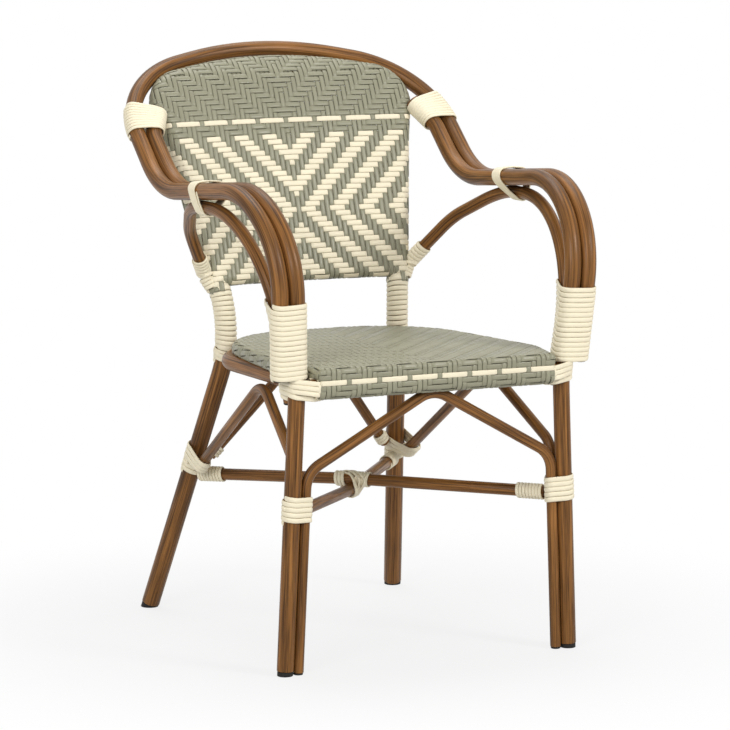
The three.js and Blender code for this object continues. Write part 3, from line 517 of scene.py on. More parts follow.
def stretcher_route(lift):
    """From the lashing of a front leg to the rear leg across, bowed at the crossing."""
    start = front_leg.at(2, STRETCHER_FRONT_Z)[0]
    end = mirror(rear.at(2, STRETCHER_REAR_Z)[0])
    heading = unit(end - start)
    first = start + heading * STRETCHER_FRONT_STOP
    last = end - heading * STRETCHER_REAR_STOP
    middle = start + (end - start) * start[0] / (start[0] - end[0])
    return Route.bent([first, middle + (0, 0, lift), last], [CROSS_BEND])


stretcher_over = stretcher_route(OVER_LIFT)
stretcher_under = stretcher_route(-UNDER_LIFT).mirrored()


# Meshes
class Patch:
    """Part of a piece: vertices, quads, flat end polygons, and the values its materials read."""

    def __init__(self, points, lay, edge, tone):
        rows, ring_size = points.shape[:2]
        self.points = points.reshape(-1, 3)
        self.lay = lay.reshape(-1, 3)
        self.edge = np.broadcast_to(edge, (rows, ring_size)).ravel()
        self.tone = np.full(rows * ring_size, tone)
        index = np.arange(rows * ring_size).reshape(rows, ring_size)
        turned = np.roll(index, -1, axis=1)
        corners = [index[:-1], turned[:-1], turned[1:], index[1:]]
        self.quads = np.stack(corners, -1).reshape(-1, 4)
        self.caps = [index[0, ::-1].tolist(), index[-1].tolist()]


ATTRIBUTES = (("lay", "FLOAT_VECTOR", "vector"), ("edge", "FLOAT", "value"),
              ("tone", "FLOAT", "value"))


def make_piece(name, patches, material, nodes):
    """Joins patches in one mesh that stands for CAD nodes and rides with the chair."""
    count = np.cumsum([0] + [len(p.points) for p in patches])
    faces = []
    for start, p in zip(count, patches):
        faces += (p.quads + start).tolist()
    quads = len(faces)
    for start, p in zip(count, patches):
        faces += [[start + i for i in cap] for cap in p.caps]
    mesh = bpy.data.meshes.new(name)
    mesh.from_pydata(np.vstack([p.points for p in patches]).tolist(), [], faces)
    smooth = np.zeros(len(faces), bool)
    smooth[:quads] = True
    mesh.polygons.foreach_set("use_smooth", smooth)
    for key, kind, field in ATTRIBUTES:
        values = np.concatenate([getattr(p, key).ravel() for p in patches]).astype(np.float32)
        mesh.attributes.new(key, kind, "POINT").data.foreach_set(field, values)
    mesh.materials.append(material)
    mesh.update()
    obj = bpy.data.objects.new(name, mesh)
    bpy.context.scene.collection.objects.link(obj)
    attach(obj, "root")
    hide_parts(*nodes)


def carried(headings):
    """Two directions square to each heading, carried along without twist."""
    first = unit(np.cross(headings[0], (0.3, 0.8, 0.5)))
    found = [first]
    for t in headings[1:]:
        n = found[-1] - (found[-1] @ t) * t
        found.append(n / math.sqrt(n @ n))
    e1 = np.array(found)
    return e1, np.cross(headings, e1)


def circle_round(e1, e2):
    """Directions evenly round a tube: cosine times the first one plus sine times the second."""
    angle = np.arange(TUBE_SIDES) * 2 * math.pi / TUBE_SIDES
    return np.cos(angle)[:, None] * e1 + np.sin(angle)[:, None] * e2


def tube(route, radius):
    """A round bar along a route: circles square to it, drawn in to a small round at both ends by
    one minus the cosine along and one minus the sine across."""
    far = 1.5 * TUBE_RIM
    inner = route.lengths[(route.lengths > far) & (route.lengths < route.length - far)]
    turn = np.linspace(0, math.pi / 2, RIM_STEPS)
    back = turn[::-1]
    s = np.concatenate((TUBE_RIM * (1 - np.cos(turn)), inner,
                        route.length - TUBE_RIM * (1 - np.cos(back))))
    r = np.concatenate((radius - TUBE_RIM * (1 - np.sin(turn)), np.full(len(inner), radius),
                        radius - TUBE_RIM * (1 - np.sin(back))))
    p, t = route.along(s)
    e1, e2 = carried(t)
    angle = np.arange(TUBE_SIDES) * 2 * math.pi / TUBE_SIDES
    c, n = np.cos(angle)[None, :, None], np.sin(angle)[None, :, None]
    points = p[:, None] + r[:, None, None] * (c * e1[:, None] + n * e2[:, None])
    flat = np.broadcast_arrays(s[:, None], r[:, None] * c[..., 0], r[:, None] * n[..., 0])
    return Patch(points, np.stack(flat, -1), 0.0, 0.5)


# Outline of a strand, across its width and through its thickness, as shares of both
ROUND_SHARES = np.array(((0.5, -0.2), (0.47, 0.08), (0.36, 0.34), (0.14, 0.49), (-0.14, 0.49),
                         (-0.36, 0.34), (-0.47, 0.08), (-0.5, -0.2), (-0.42, -0.42),
                         (0.42, -0.42)))
LENS_SHARES = np.array(((0.5, -0.14), (0.45, 0.16), (0.27, 0.4), (0.0, 0.5), (-0.27, 0.4),
                        (-0.45, 0.16), (-0.5, -0.14), (-0.3, -0.4), (0.3, -0.4)))


def ribbon(path, out, width, thick, shares, tone, offset):
    """A flat strand along a path: its outline laid across the path, with its crown outwards."""
    heading = unit(np.gradient(path, axis=0))
    out = unit(out - dot(out, heading) * heading)
    across = np.cross(out, heading)
    w = shares[:, 0] * width
    h = shares[:, 1] * thick
    points = path[:, None] + w[None, :, None] * across[:, None] + h[None, :, None] * out[:, None]
    steps = np.linalg.norm(np.diff(path, axis=0), axis=1)
    s = offset + np.concatenate(([0.0], np.cumsum(steps)))
    lay = np.stack(np.broadcast_arrays(s[:, None], w[None], h[None]), -1)
    return Patch(points, lay, np.abs(shares[:, 0])[None] * 2, tone)


def mirrored_patch(p):
    """The same patch on the other side, with its faces turned to point outwards again."""
    other = Patch.__new__(Patch)
    other.points, other.lay, other.edge, other.tone = mirror(p.points), p.lay, p.edge, p.tone
    other.quads = p.quads[:, ::-1]
    other.caps = [cap[::-1] for cap in p.caps]
    return other


def both(name, patches, material, node):
    """A piece on the left and its mirror image on the right."""
    make_piece(f"{name}_left", patches, material, [f"{node}_left"])
    mirrored = [mirrored_patch(p) for p in patches]
    make_piece(f"{name}_right", mirrored, material, [f"{node}_right"])


def sink_ends(count, depth):
    """How far a strand's ends dip under the turns beside them: the depth, fading with the square
    of the distance from the end."""
    k = np.arange(count)
    near = np.minimum(k, count - 1 - k) / WIND_STEPS
    return depth * np.clip(1 - near / SUNK_SHARE, 0, 1) ** 2


def wound(route, bound, start, turns, rise, phase=0.0, lift=0.0, tone=0.5, thick=STRAND_THICK,
          sway=SWAY, lean=0.0):
    """One strand wound as a helix round a bundle of tubes. At each angle it lies where the tangents
    to the bundle half a step before and half a step after meet, so it is taut over hollows."""
    count = int(round(turns * WIND_STEPS)) + 1
    k = np.arange(count)
    angle = phase + 2 * math.pi * k / WIND_STEPS
    wander = sway * np.sin(angle * SWAY_SLOW + start * SWAY_START) * np.sin(angle * SWAY_FAST)
    s = start + rise * k / WIND_STEPS + lean * np.sin(angle) + wander
    o, t = route.along(s)
    aside = X_AXIS if abs(t[0, 0]) < 0.9 else UPWARDS
    e1 = unit(aside - dot(aside, t) * t)
    e2 = np.cross(t, e1)
    balls, radii = [], []
    for other, radius in bound:
        q = other.along(np.arange(0, other.length, BALL_STEP))[0]
        near = np.linalg.norm(q[:, None] - o[None, ::NEAR_STEP], axis=-1).min(1) < LASH_SPAN
        balls.append(q[near])
        radii.append(np.full(near.sum(), radius))
    balls, radii = np.vstack(balls), np.concatenate(radii)
    d = balls[None] - o[:, None]
    off = np.maximum(0, np.abs((d * t[:, None]).sum(-1)) - rise / 2)
    touched = (np.linalg.norm(d, axis=-1) < LASH_SPAN) & (off < radii)
    round_radius = np.sqrt(np.maximum(radii ** 2 - off ** 2, 0))

    def facing(a):
        return np.cos(a)[:, None] * e1 + np.sin(a)[:, None] * e2

    def reach(a):
        return np.where(touched, (d * facing(a)[:, None]).sum(-1) + round_radius, -1.0).max(1)

    half = math.pi / WIND_STEPS
    over = LASH_GAP + thick / 2 + lift
    before, after = reach(angle - half) + over, reach(angle + half) + over
    out = facing(angle)
    path = o + out * ((before + after) / (2 * math.cos(half)))[:, None]
    path += facing(angle + math.pi / 2) * ((after - before) / (2 * math.sin(half)))[:, None]
    path -= out * sink_ends(count, thick)[:, None]
    return ribbon(path, out, rise, thick, ROUND_SHARES, tone, start)


# Node groups and materials
def new_group(name, inputs, outputs):
    """An empty group with its sockets, and its input and output nodes."""
    group = bpy.data.node_groups.new(name, "ShaderNodeTree")
    for label, kind, value in inputs:
        socket = group.interface.new_socket(label, in_out="INPUT", socket_type=kind)
        if value is not None:
            socket.default_value = value
    for label, kind in outputs:
        group.interface.new_socket(label, in_out="OUTPUT", socket_type=kind)
    return group, group.nodes.new("NodeGroupInput"), group.nodes.new("NodeGroupOutput")


def add_node(tree, kind, **settings):
    """A node with its settings; those that start with in_ are for its sockets."""
    node = tree.nodes.new(kind)
    for key, value in settings.items():
        if key.startswith("in_"):
            node.inputs[key[3:].replace("_", " ")].default_value = value
        else:
            setattr(node, key, value)
    return node


def feed(tree, socket, value):
    """A number or colour goes on the socket itself, and an output is linked to it."""
    if isinstance(value, (int, float, tuple)):
        socket.default_value = value
    else:
        tree.links.new(value, socket)


def maths(tree, operation, *values, clamp=False):
    node = add_node(tree, "ShaderNodeMath", operation=operation, use_clamp=clamp)
    for socket, value in zip(node.inputs, values):
        feed(tree, socket, value)
    return node.outputs[0]


def mixed(tree, factor, a, b, blend="MIX"):
    node = add_node(tree, "ShaderNodeMix", data_type="RGBA", blend_type=blend)
    for index, value in ((0, factor), (6, a), (7, b)):
        feed(tree, node.inputs[index], value)
    return node.outputs[2]


def stretched(tree, vector, scale):
    """The vector with its axes stretched, so that a noise makes streaks."""
    node = add_node(tree, "ShaderNodeVectorMath", operation="MULTIPLY")
    tree.links.new(vector, node.inputs[0])
    node.inputs[1].default_value = scale
    return node.outputs[0]


def noise(tree, vector, detail, roughness, scale=1.0):
    node = add_node(tree, "ShaderNodeTexNoise", in_Scale=scale, in_Detail=detail,
                    in_Roughness=roughness)
    tree.links.new(vector, node.inputs["Vector"])
    return node.outputs["Fac"]


def remap(tree, value, low, high, to_low=0.0, to_high=1.0):
    """A smooth step from one range to another."""
    node = add_node(tree, "ShaderNodeMapRange", interpolation_type="SMOOTHSTEP")
    ends = (("From Min", low), ("From Max", high), ("To Min", to_low), ("To Max", to_high))
    for label, number in (("Value", value), *ends):
        feed(tree, node.inputs[label], number)
    return node.outputs["Result"]


def shaded(tree, color, tone):
    """A colour times a tone."""
    grey = add_node(tree, "ShaderNodeCombineColor")
    for socket in grey.inputs:
        tree.links.new(tone, socket)
    return mixed(tree, 1.0, color, grey.outputs[0], "MULTIPLY")


def grain_group():
    """Bamboo-like print: pale and dark streaks along the tube, a few dark lines, and slow changes
    of tone."""
    group, given, made = new_group(
        "Cane Grain",
        [("Lay", "NodeSocketVector", None), ("Pale", "NodeSocketColor", (0.3, 0.15, 0.05, 1)),
         ("Deep", "NodeSocketColor", (0.1, 0.05, 0.02, 1)),
         ("Line", "NodeSocketColor", (0.04, 0.02, 0.01, 1)), ("Contrast", "NodeSocketFloat", 1.0)],
        [("Color", "NodeSocketColor"), ("Roughness", "NodeSocketFloat"),
         ("Height", "NodeSocketFloat")])
    lay = given.outputs["Lay"]
    broad = noise(group, stretched(group, lay, BROAD_STREAKS), detail=3.0, roughness=0.55)
    fine = noise(group, stretched(group, lay, FINE_STREAKS), detail=3.0, roughness=0.6)
    lines = noise(group, stretched(group, lay, DARK_LINES), detail=1.0, roughness=0.4)
    slow = noise(group, stretched(group, lay, SLOW_TONES), detail=1.0, roughness=0.5)
    streak = maths(group, "ADD", maths(group, "MULTIPLY", broad, 0.5),
                   maths(group, "MULTIPLY", fine, 0.5))
    share = remap(group, streak, low=0.34, high=0.66)
    share = maths(group, "MULTIPLY", share, given.outputs["Contrast"], clamp=True)
    color = mixed(group, share, given.outputs["Pale"], given.outputs["Deep"])
    dark = remap(group, lines, low=0.60, high=0.70, to_high=0.75)
    color = mixed(group, dark, color, given.outputs["Line"])
    tone = remap(group, slow, low=0.3, high=0.7, to_low=0.84, to_high=1.16)
    group.links.new(shaded(group, color, tone), made.inputs["Color"])
    rough = remap(group, fine, low=0.3, high=0.7, to_low=0.34, to_high=0.5)
    group.links.new(rough, made.inputs["Roughness"])
    height = maths(group, "SUBTRACT", maths(group, "MULTIPLY", fine, 0.4), dark)
    group.links.new(height, made.inputs["Height"])
    return group


def strand_group():
    """Plastic strand: a tone of its own, fine lines along it, and painted shade on its edges where
    it turns under its neighbour."""
    group, given, made = new_group(
        "Strand Tone",
        [("Lay", "NodeSocketVector", None), ("Edge", "NodeSocketFloat", 0.0),
         ("Tone", "NodeSocketFloat", 0.5), ("Base", "NodeSocketColor", (0.9, 0.85, 0.7, 1)),
         ("Shade", "NodeSocketColor", (0.5, 0.45, 0.33, 1)),
         ("Variation", "NodeSocketFloat", 0.1), ("Edge Start", "NodeSocketFloat", 0.8)],
        [("Color", "NodeSocketColor"), ("Roughness", "NodeSocketFloat"),
         ("Height", "NodeSocketFloat")])
    lay = given.outputs["Lay"]
    lines = noise(group, stretched(group, lay, STRAND_LINES), detail=2.0, roughness=0.55)
    patch = noise(group, stretched(group, lay, STRAND_PATCHES), detail=2.0, roughness=0.5)
    spread = maths(group, "ADD", maths(group, "SUBTRACT", given.outputs["Tone"], 0.5),
                   maths(group, "SUBTRACT", lines, 0.5))
    uneven = maths(group, "MULTIPLY", maths(group, "SUBTRACT", patch, 0.5), 0.7)
    spread = maths(group, "ADD", spread, uneven)
    tone = maths(group, "MULTIPLY_ADD", spread, given.outputs["Variation"], 1.0)
    color = shaded(group, given.outputs["Base"], tone)
    # Painted shade: the shade colour is laid over the strand's side edges, where it turns under its
    # neighbour
    edge = remap(group, given.outputs["Edge"], low=given.outputs["Edge Start"], high=1.0,
                 to_high=0.8)
    color = mixed(group, edge, color, given.outputs["Shade"])
    group.links.new(color, made.inputs["Color"])
    rough = remap(group, lines, low=0.3, high=0.7, to_low=0.32, to_high=0.46)
    group.links.new(rough, made.inputs["Roughness"])
    height = maths(group, "ADD", lines, maths(group, "MULTIPLY", patch, 0.5))
    group.links.new(height, made.inputs["Height"])
    return group


def blank_material(name):
    """A new material, with its tree and its shader."""
    material = bpy.data.materials.new(name)
    material.use_nodes = True
    return material, material.node_tree, material.node_tree.nodes["Principled BSDF"]


def raise_relief(tree, shader, height, strength, distance):
    """A bump from a height, into the shader's normal."""
    relief = add_node(tree, "ShaderNodeBump", in_Strength=strength, in_Distance=distance)
    tree.links.new(height, relief.inputs["Height"])
    tree.links.new(relief.outputs["Normal"], shader.inputs["Normal"])


def surface_material(name, group, values, bump, distance, specular, rough_shift=0.0):
    """A material of one node group that reads the piece's own attributes, with a bump from its
    height."""
    material, tree, shader = blank_material(name)
    node = tree.nodes.new("ShaderNodeGroup")
    node.node_tree = group
    for key, output in (("Lay", "Vector"), ("Edge", "Fac"), ("Tone", "Fac")):
        if key in node.inputs:
            source = add_node(tree, "ShaderNodeAttribute", attribute_name=key.lower())
            tree.links.new(source.outputs[output], node.inputs[key])
    for key, value in values.items():
        node.inputs[key].default_value = value
    tree.links.new(node.outputs["Color"], shader.inputs["Base Color"])
    rough = maths(tree, "ADD", node.outputs["Roughness"], rough_shift)
    tree.links.new(rough, shader.inputs["Roughness"])
    raise_relief(tree, shader, node.outputs["Height"], bump, distance)
    shader.inputs["Specular IOR Level"].default_value = specular
    return material


def plug_material(color):
    """Black plug: moulded, matt, faintly scuffed."""
    material, tree, shader = blank_material("Black Plug")
    place = add_node(tree, "ShaderNodeTexCoord").outputs["Object"]
    scuff = noise(tree, place, detail=4.0, roughness=0.6, scale=260.0)
    worn = tuple(min(1.0, 1.6 * c) for c in color[:3]) + (1.0,)
    share = remap(tree, scuff, low=0.5, high=0.75)
    tree.links.new(mixed(tree, share, tuple(color), worn), shader.inputs["Base Color"])
    rough = remap(tree, scuff, low=0.3, high=0.7, to_low=0.45, to_high=0.65)
    tree.links.new(rough, shader.inputs["Roughness"])
    raise_relief(tree, shader, scuff, 0.2, 0.0003)
    shader.inputs["Specular IOR Level"].default_value = 0.15
    return material


MATERIALS = {}


def material_of(name):
    """The chair's materials, each made once."""
    if MATERIALS:
        return MATERIALS[name]
    colours = bpy.context.scene.chair_colours
    grain, strand = grain_group(), strand_group()
    cane = {"Pale": colours.cane_pale, "Deep": colours.cane_deep, "Line": colours.cane_line,
            "Contrast": 1.0}
    # Shade and Edge Start: painted shade on the strands' side edges, from Edge Start outwards
    ivory = {"Base": colours.ivory, "Shade": colours.ivory_painted_shade}
    grey = {"Base": colours.grey, "Shade": colours.grey_painted_shade, "Variation": 0.14,
            "Edge Start": 0.78}
    MATERIALS["cane"] = surface_material(
        "Bamboo Print", grain, cane, bump=0.25, distance=0.0004, specular=0.2, rough_shift=-0.06)
    MATERIALS["ivory"] = surface_material(
        "Ivory Strand", strand, {**ivory, "Variation": 0.12, "Edge Start": 0.84},
        bump=0.15, distance=0.0003, specular=0.2, rough_shift=0.05)
    MATERIALS["ivory_weft"] = surface_material(
        "Ivory Weft", strand, {**ivory, "Variation": 0.10, "Edge Start": 0.88},
        bump=0.15, distance=0.0003, specular=0.2)
    MATERIALS["grey"] = surface_material(
        "Grey Strand", strand, grey, bump=0.15, distance=0.0003, specular=0.25, rough_shift=-0.07)
    MATERIALS["plug"] = plug_material(colours.plug)
    return MATERIALS[name]


def linear(color):
    """An sRGB colour in 0 to 255 as the linear one that a shader takes."""
    c = np.array(color) / 255.0
    return (*np.where(c <= 0.04045, c / 12.92, ((c + 0.055) / 1.055) ** 2.4).tolist(), 1.0)


def colour_value(name, description, color):
    return FloatVectorProperty(name=name, description=description, subtype="COLOR", size=4,
                               default=linear(color))


def length_value(name, description, default):
    return FloatProperty(name=name, description=description, unit="LENGTH", default=default)


class ChairColours(bpy.types.PropertyGroup):
    cane_pale: colour_value("Pale cane", "Light streaks of the tubes", (152, 104, 54))
    cane_deep: colour_value("Deep cane", "Dark streaks of the tubes", (74, 47, 22))
    cane_line: colour_value("Cane line", "Fine dark lines of the tubes", (32, 20, 9))
    ivory: colour_value("Ivory", "Strands of the lashings and the pale weave", (240, 230, 203))
    # The ivory edge colour is painted shade on the strands' side edges
    ivory_painted_shade: colour_value("Ivory painted shade", "Edges of the ivory strands", (186, 170, 132))
    grey: colour_value("Grey weave", "Warm grey strands", (147, 145, 123))
    # The grey edge colour is painted shade on the strands' side edges
    grey_painted_shade: colour_value("Grey painted shade", "Edges of the grey strands", (84, 81, 64))
    plug: colour_value("Plug", "Feet and end caps", (40, 38, 37))


class ChairSizes(bpy.types.PropertyGroup):
    frame_radius: length_value("Frame tube", "Radius of the leg and arm tubes", FRAME_RADIUS)
    rear_radius: length_value("Rear tube", "Radius of the rear legs and inner hoop", REAR_RADIUS)
    weave_pitch: length_value("Weave pitch", "Distance from one warp to the next", WEAVE_PITCH)
    strand_rise: length_value("Strand width", "Rise of a lashing from one turn to the next",
                              STRAND_RISE)
    wrap_turns: IntProperty(name="Front wrap turns", default=FRONT_WRAP_TURNS, min=1,
                            description="Turns of the wrap where the arm meets the leg")


# Tubes
def foot_trim(route, height):
    """Length from the floor to the lower end of a leaning leg's tube: its height over the upward
    part of the heading."""
    return height / abs(route.headings[0][2])


def clear_length(route, other, distance):
    """Length along a route at which it first stands a distance away from another one."""
    s = np.arange(0, route.length, 0.001)
    p = route.along(s)[0]
    q = other.along(np.arange(0, other.length, 0.002))[0]
    gap = np.linalg.norm(p[:, None] - q[None], axis=-1).min(1)
    return s[np.flatnonzero(gap > distance)[0]]


class CHAIR_OT_frame_tubes(bpy.types.Operator):
    """Legs, arms and the two hoops of the back"""

    bl_idname = "chair.frame_tubes"
    bl_label = "Frame tubes"

    def execute(self, context):
        sizes = context.scene.chair_sizes
        cane = material_of("cane")
        make_piece("hoop_arm_cane", [tube(hoop, sizes.frame_radius)], cane, ["hoop_arm_tube"])
        leg = front_leg.cut(foot_trim(front_leg, FOOT_HEIGHT), front_leg.length)
        both("front_leg_cane", [tube(leg, sizes.frame_radius)], cane, "front_leg_tube")
        trim = foot_trim(rear, FOOT_HEIGHT)
        legs = rear.cut(trim, rear.length - trim)
        make_piece("rear_hoop_cane", [tube(legs, sizes.rear_radius)], cane, ["rear_leg_hoop"])
        start = clear_length(lower_arm, rear, REAR_RADIUS + LOWER_ARM_RADIUS + FIT_GAP)
        arm = lower_arm.cut(start, lower_arm.length)
        both("lower_arm_cane", [tube(arm, LOWER_ARM_RADIUS)], cane, "lower_arm")
        return {"FINISHED"}


class CHAIR_OT_underframe(bpy.types.Operator):
    """Ring and bar under the seat, arches and stretchers"""

    bl_idname = "chair.underframe"
    bl_label = "Underframe"

    def execute(self, context):
        cane = material_of("cane")
        inset = FRAME_RADIUS + FIT_GAP
        round_seat = ring.cut(inset, ring.length - inset)
        end = at((FRONT_BAR_HALF, FRONT_BAR_Y, FRONT_BAR_Z))
        bar = Route(np.array([end, mirror(end)]), np.array([-X_AXIS, -X_AXIS]))
        trim = foot_trim(front_arch, ARCH_FOOT_HEIGHT)
        arch = front_arch.cut(trim, front_arch.length - trim)
        make_piece("seat_ring_cane", [tube(round_seat, FRAME_RADIUS)], cane, ["seat_ring"])
        make_piece("seat_bar_cane", [tube(bar, FRAME_RADIUS)], cane, ["seat_front_bar"])
        make_piece("front_arch_cane", [tube(arch, BRACE_RADIUS)], cane, ["front_arch"])
        both("side_arch_cane", [tube(side_arch, BRACE_RADIUS)], cane, "side_arch")
        make_piece("rear_arch_cane", [tube(rear_arch, BRACE_RADIUS)], cane, ["rear_arch"])
        for name, route in (("over", stretcher_over), ("under", stretcher_under)):
            make_piece(f"stretcher_{name}_cane", [tube(route, STRETCHER_RADIUS)], cane,
                       [f"stretcher_{name}"])
        return {"FINISHED"}


def plug_foot(route, radius, height):
    """A plug between a leg's end and the floor: circles round the leg's centreline. The upper ones
    are square to it, and the lower ones slid along it to level heights."""
    p, t = route.along(np.array([foot_trim(route, height)]))
    circle = circle_round(*carried(t))
    lip = radius - FOOT_LIP
    points = []
    for share, depth in FOOT_UPPER:
        q = p + circle * (lip * share) - t * depth
        points.append(q + t * (np.maximum(FOOT_CHAMFER - q[:, 2:], 0.0) / t[:, 2:]))
    for inset, z in FOOT_LOWER:
        q = p + circle * (lip - inset)
        points.append(q + t * ((z - q[:, 2:]) / t[:, 2:]))
    points = np.array(points)[::-1]
    return Patch(points, points, 0.0, 0.5)


def plug_cap(end, heading, radius):
    """A shallow round cap on a tube's end: circles that shrink to a soft crown."""
    circle = circle_round(*carried(heading[None]))
    points = np.array([end + circle * (radius * share) + heading * h for share, h in CAP_RINGS])
    return Patch(points, points, 0.0, 0.5)


class CHAIR_OT_feet_and_caps(bpy.types.Operator):
    """Plug feet under the legs and caps on the open tube ends"""

    bl_idname = "chair.feet_and_caps"
    bl_label = "Feet and caps"

    def execute(self, context):
        plug = material_of("plug")
        feet = (("front_foot", front_leg, FRAME_RADIUS, FOOT_HEIGHT),
                ("rear_foot", rear, REAR_RADIUS, FOOT_HEIGHT),
                ("arch_foot", front_arch, BRACE_RADIUS, ARCH_FOOT_HEIGHT))
        for name, *place in feet:
            both(f"{name}_plug", [plug_foot(*place)], plug, name)
        caps = (("arm_tube_cap", hoop.points[0], -hoop.headings[0], FRAME_RADIUS),
                ("lower_arm_cap", lower_arm.points[-1], lower_arm.headings[-1], LOWER_ARM_RADIUS),
                ("side_arch_cap", side_arch.points[-1], side_arch.headings[-1], BRACE_RADIUS))
        for name, *place in caps:
            both(f"{name}_plug", [plug_cap(*place)], plug, name)
        return {"FINISHED"}


# Weaving
def smooth_step(x):
    """Three times the square less twice the cube, between 0 and 1."""
    x = np.clip(x, 0, 1)
    return x * x * (3 - 2 * x)


def crossing_height(u, sign_at):
    """Height of a strand at a place u counted in crossings: up where it passes over, down where it
    passes under, with a short slope half way between two crossings."""
    low = np.floor(u)
    slope = smooth_step((u - low - 0.5) * SLOPE_SPEED + 0.5)
    a, b = sign_at(low.astype(int)), sign_at(low.astype(int) + 1)
    return a + (b - a) * slope


def woven_strand(surface, u, v, steps, sign_at, width, tone):
    """One strand of a weave along a line of the surface's two parameters, cut where the surface
    ends: the surface plus its normal times the strand's height."""
    u, v = np.broadcast_arrays(u, v)
    base, normal, kept = surface(u, v)
    path = base + normal * (crossing_height(steps, sign_at) * WEAVE_HALF)[:, None]
    found = []
    edges = np.flatnonzero(np.diff(np.concatenate(([0], kept.astype(int), [0]))))
    for start, stop in zip(edges[::2], edges[1::2]):
        if stop - start > SHORTEST:
            part = slice(start, stop)
            found.append(ribbon(path[part], normal[part], width, WEAVE_THICK, LENS_SHARES, tone,
                                float(u[start])))
    return found


def crossings(first, last):
    """Places along a strand, counted in crossings, three to each."""
    return np.arange(first, last + STRAND_STEP, STRAND_STEP)


def weave(surface, place, over, columns, rows, spare, widths, seed):
    """Strands of a twill: a warp on each column, and a weft on each row. place gives the surface's
    parameters at a column and row, and over says where the warp passes over. Strands run on by
    spare crossings past the first and last."""
    rng = np.random.default_rng(seed)
    warps, wefts = [], {}
    steps = crossings(rows[0] - spare, rows[1] + spare)
    for i in range(columns[0], columns[1] + 1):
        sign = lambda j, i=i: np.where(over(i, j), 1.0, -1.0)
        warps += woven_strand(surface, *place(i, steps), steps, sign, widths[0],
                              rng.uniform(*TONES))
    steps = crossings(columns[0] - spare, columns[1] + spare)
    for j in range(rows[0], rows[1] + 1):
        sign = lambda i, j=j: np.where(over(i, j), -1.0, 1.0)
        wefts[j] = woven_strand(surface, *place(steps, j), steps, sign, widths[1],
                                rng.uniform(*TONES))
    return warps, wefts


def rows_where(wefts, chosen):
    """The wefts of the rows that a test picks."""
    return [strand for j, strands in wefts.items() if chosen(j) for strand in strands]


class BackSurface:
    """The woven back: a bowed sheet between the sides of the inner hoop, that wraps round the
    hoop's tube at its edge and round a rail at its foot. u runs across from the middle, v up along
    the sheet."""

    def __init__(self):
        start = rear.length_at(2, BACK_BOTTOM_Z - BACK_END_DROP)
        self.place, self.heading = rear.along(np.linspace(start, rear.length / 2, BACK_SAMPLES))
        step = np.hypot(np.diff(self.place[:, 1]), np.diff(self.place[:, 2]))
        self.v = np.concatenate(([0.0], np.cumsum(step + EPSILON)))
        slope = np.gradient(self.place[:, 1:], self.v, axis=0)
        soft = np.ones(BACK_SOFTENED) / BACK_SOFTENED
        slope = np.stack([np.convolve(np.pad(c, BACK_SOFTENED // 2, mode="edge"), soft, "valid")
                          for c in slope.T], -1)
        self.normal = unit(np.stack([np.zeros(BACK_SAMPLES), -slope[:, 1], slope[:, 0]], -1))
        self.rail_v = np.interp(BACK_BOTTOM_Z + SLEEVE_RADIUS, self.place[:, 2], self.v)
        self.centre_v = np.interp(BACK_CENTRE_Z, self.place[:, 2], self.v)
        widest = self.place[:, 0].argmax()
        self.crown_x, self.crown_v = self.place[widest:, 0][::-1], self.v[widest:][::-1]

    def inner(self, u, v):
        """The sheet between the tubes, and its normal: the tubes' own profile, set back by a bow
        that fades to nothing at the sides and at the crown."""
        side = np.stack([np.interp(v, self.v, c) for c in self.place.T], -1)
        normal = unit(np.stack([np.interp(v, self.v, c) for c in self.normal.T], -1))
        top = np.interp(np.abs(u), self.crown_x, self.crown_v)
        below = np.clip((top - v) / BOW_FADE, 0, 1)
        width = np.maximum(side[:, 0], REAR_RADIUS)
        bow = BACK_BOW * np.clip(1 - (u / width) ** 2, 0, 1) * np.sin(math.pi / 2 * below)
        return np.stack([u, side[:, 1] + bow, side[:, 2]], -1), normal

    def __call__(self, u, v):
        """Place, normal, and whether the sheet goes on there. Past the hoop's centreline, the
        distance from it becomes an angle round the tube; below the rail, round the rail."""
        sign = np.sign(u) + (u == 0)
        x = np.abs(u)
        half = np.interp(v, self.v, self.place[:, 0])
        outside = (x > half) | (v > self.v[-1])
        p, n = self.inner(u, np.clip(v, self.rail_v, self.v[-1]))
        base = p + n * WEAVE_RADIUS
        turn = np.clip(self.rail_v - v, 0, None) / RAIL_WRAP_RADIUS
        low = (turn > 0) & ~outside
        along = np.cross(X_AXIS, n)
        down = -along * np.sign(along[:, 2:])
        centre = p + n * (WEAVE_RADIUS - RAIL_WRAP_RADIUS)
        rolled = np.cos(turn)[:, None] * n + np.sin(turn)[:, None] * down
        base[low] = (centre + rolled * RAIL_WRAP_RADIUS)[low]
        n[low] = rolled[low]
        kept = ~outside & (turn < WRAP_ANGLE)
        if outside.any():
            d = np.hypot(x[outside, None] - self.place[None, :, 0],
                         v[outside, None] - self.v[None])
            nearest = d.argmin(1)
            e = d[np.arange(len(nearest)), nearest] / WEAVE_RADIUS
            a, t, m = self.place[nearest], self.heading[nearest], self.normal[nearest]
            m = unit(m - dot(m, t) * t)
            o = unit(np.cross(t, m))
            outwards = np.cos(e)[:, None] * m + np.sin(e)[:, None] * o
            sides = np.stack([sign[outside], np.ones(len(e)), np.ones(len(e))], -1)
            base[outside] = (a + outwards * WEAVE_RADIUS) * sides
            n[outside] = outwards * sides
            kept[outside] = (e < WRAP_ANGLE) & (nearest > 0)
        return base, n, kept


def warp_over_back(i, j):
    """Twill of the back: floats over three, set out from the middle both ways, in diamonds. One
    row is a dashed stripe over five warps, and above it the twill goes on in chevrons."""
    i, j = np.broadcast_arrays(np.abs(i), j)
    diamond = (i - np.abs(j) - 4) % TWILL < FLOAT
    chevron = (i - np.abs(j) - 2) % TWILL < FLOAT
    plain = np.where(j < BACK_STRIPE_ROW, chevron, diamond)
    return np.where(j == BACK_STRIPE_ROW, i % TWILL == 0, plain)


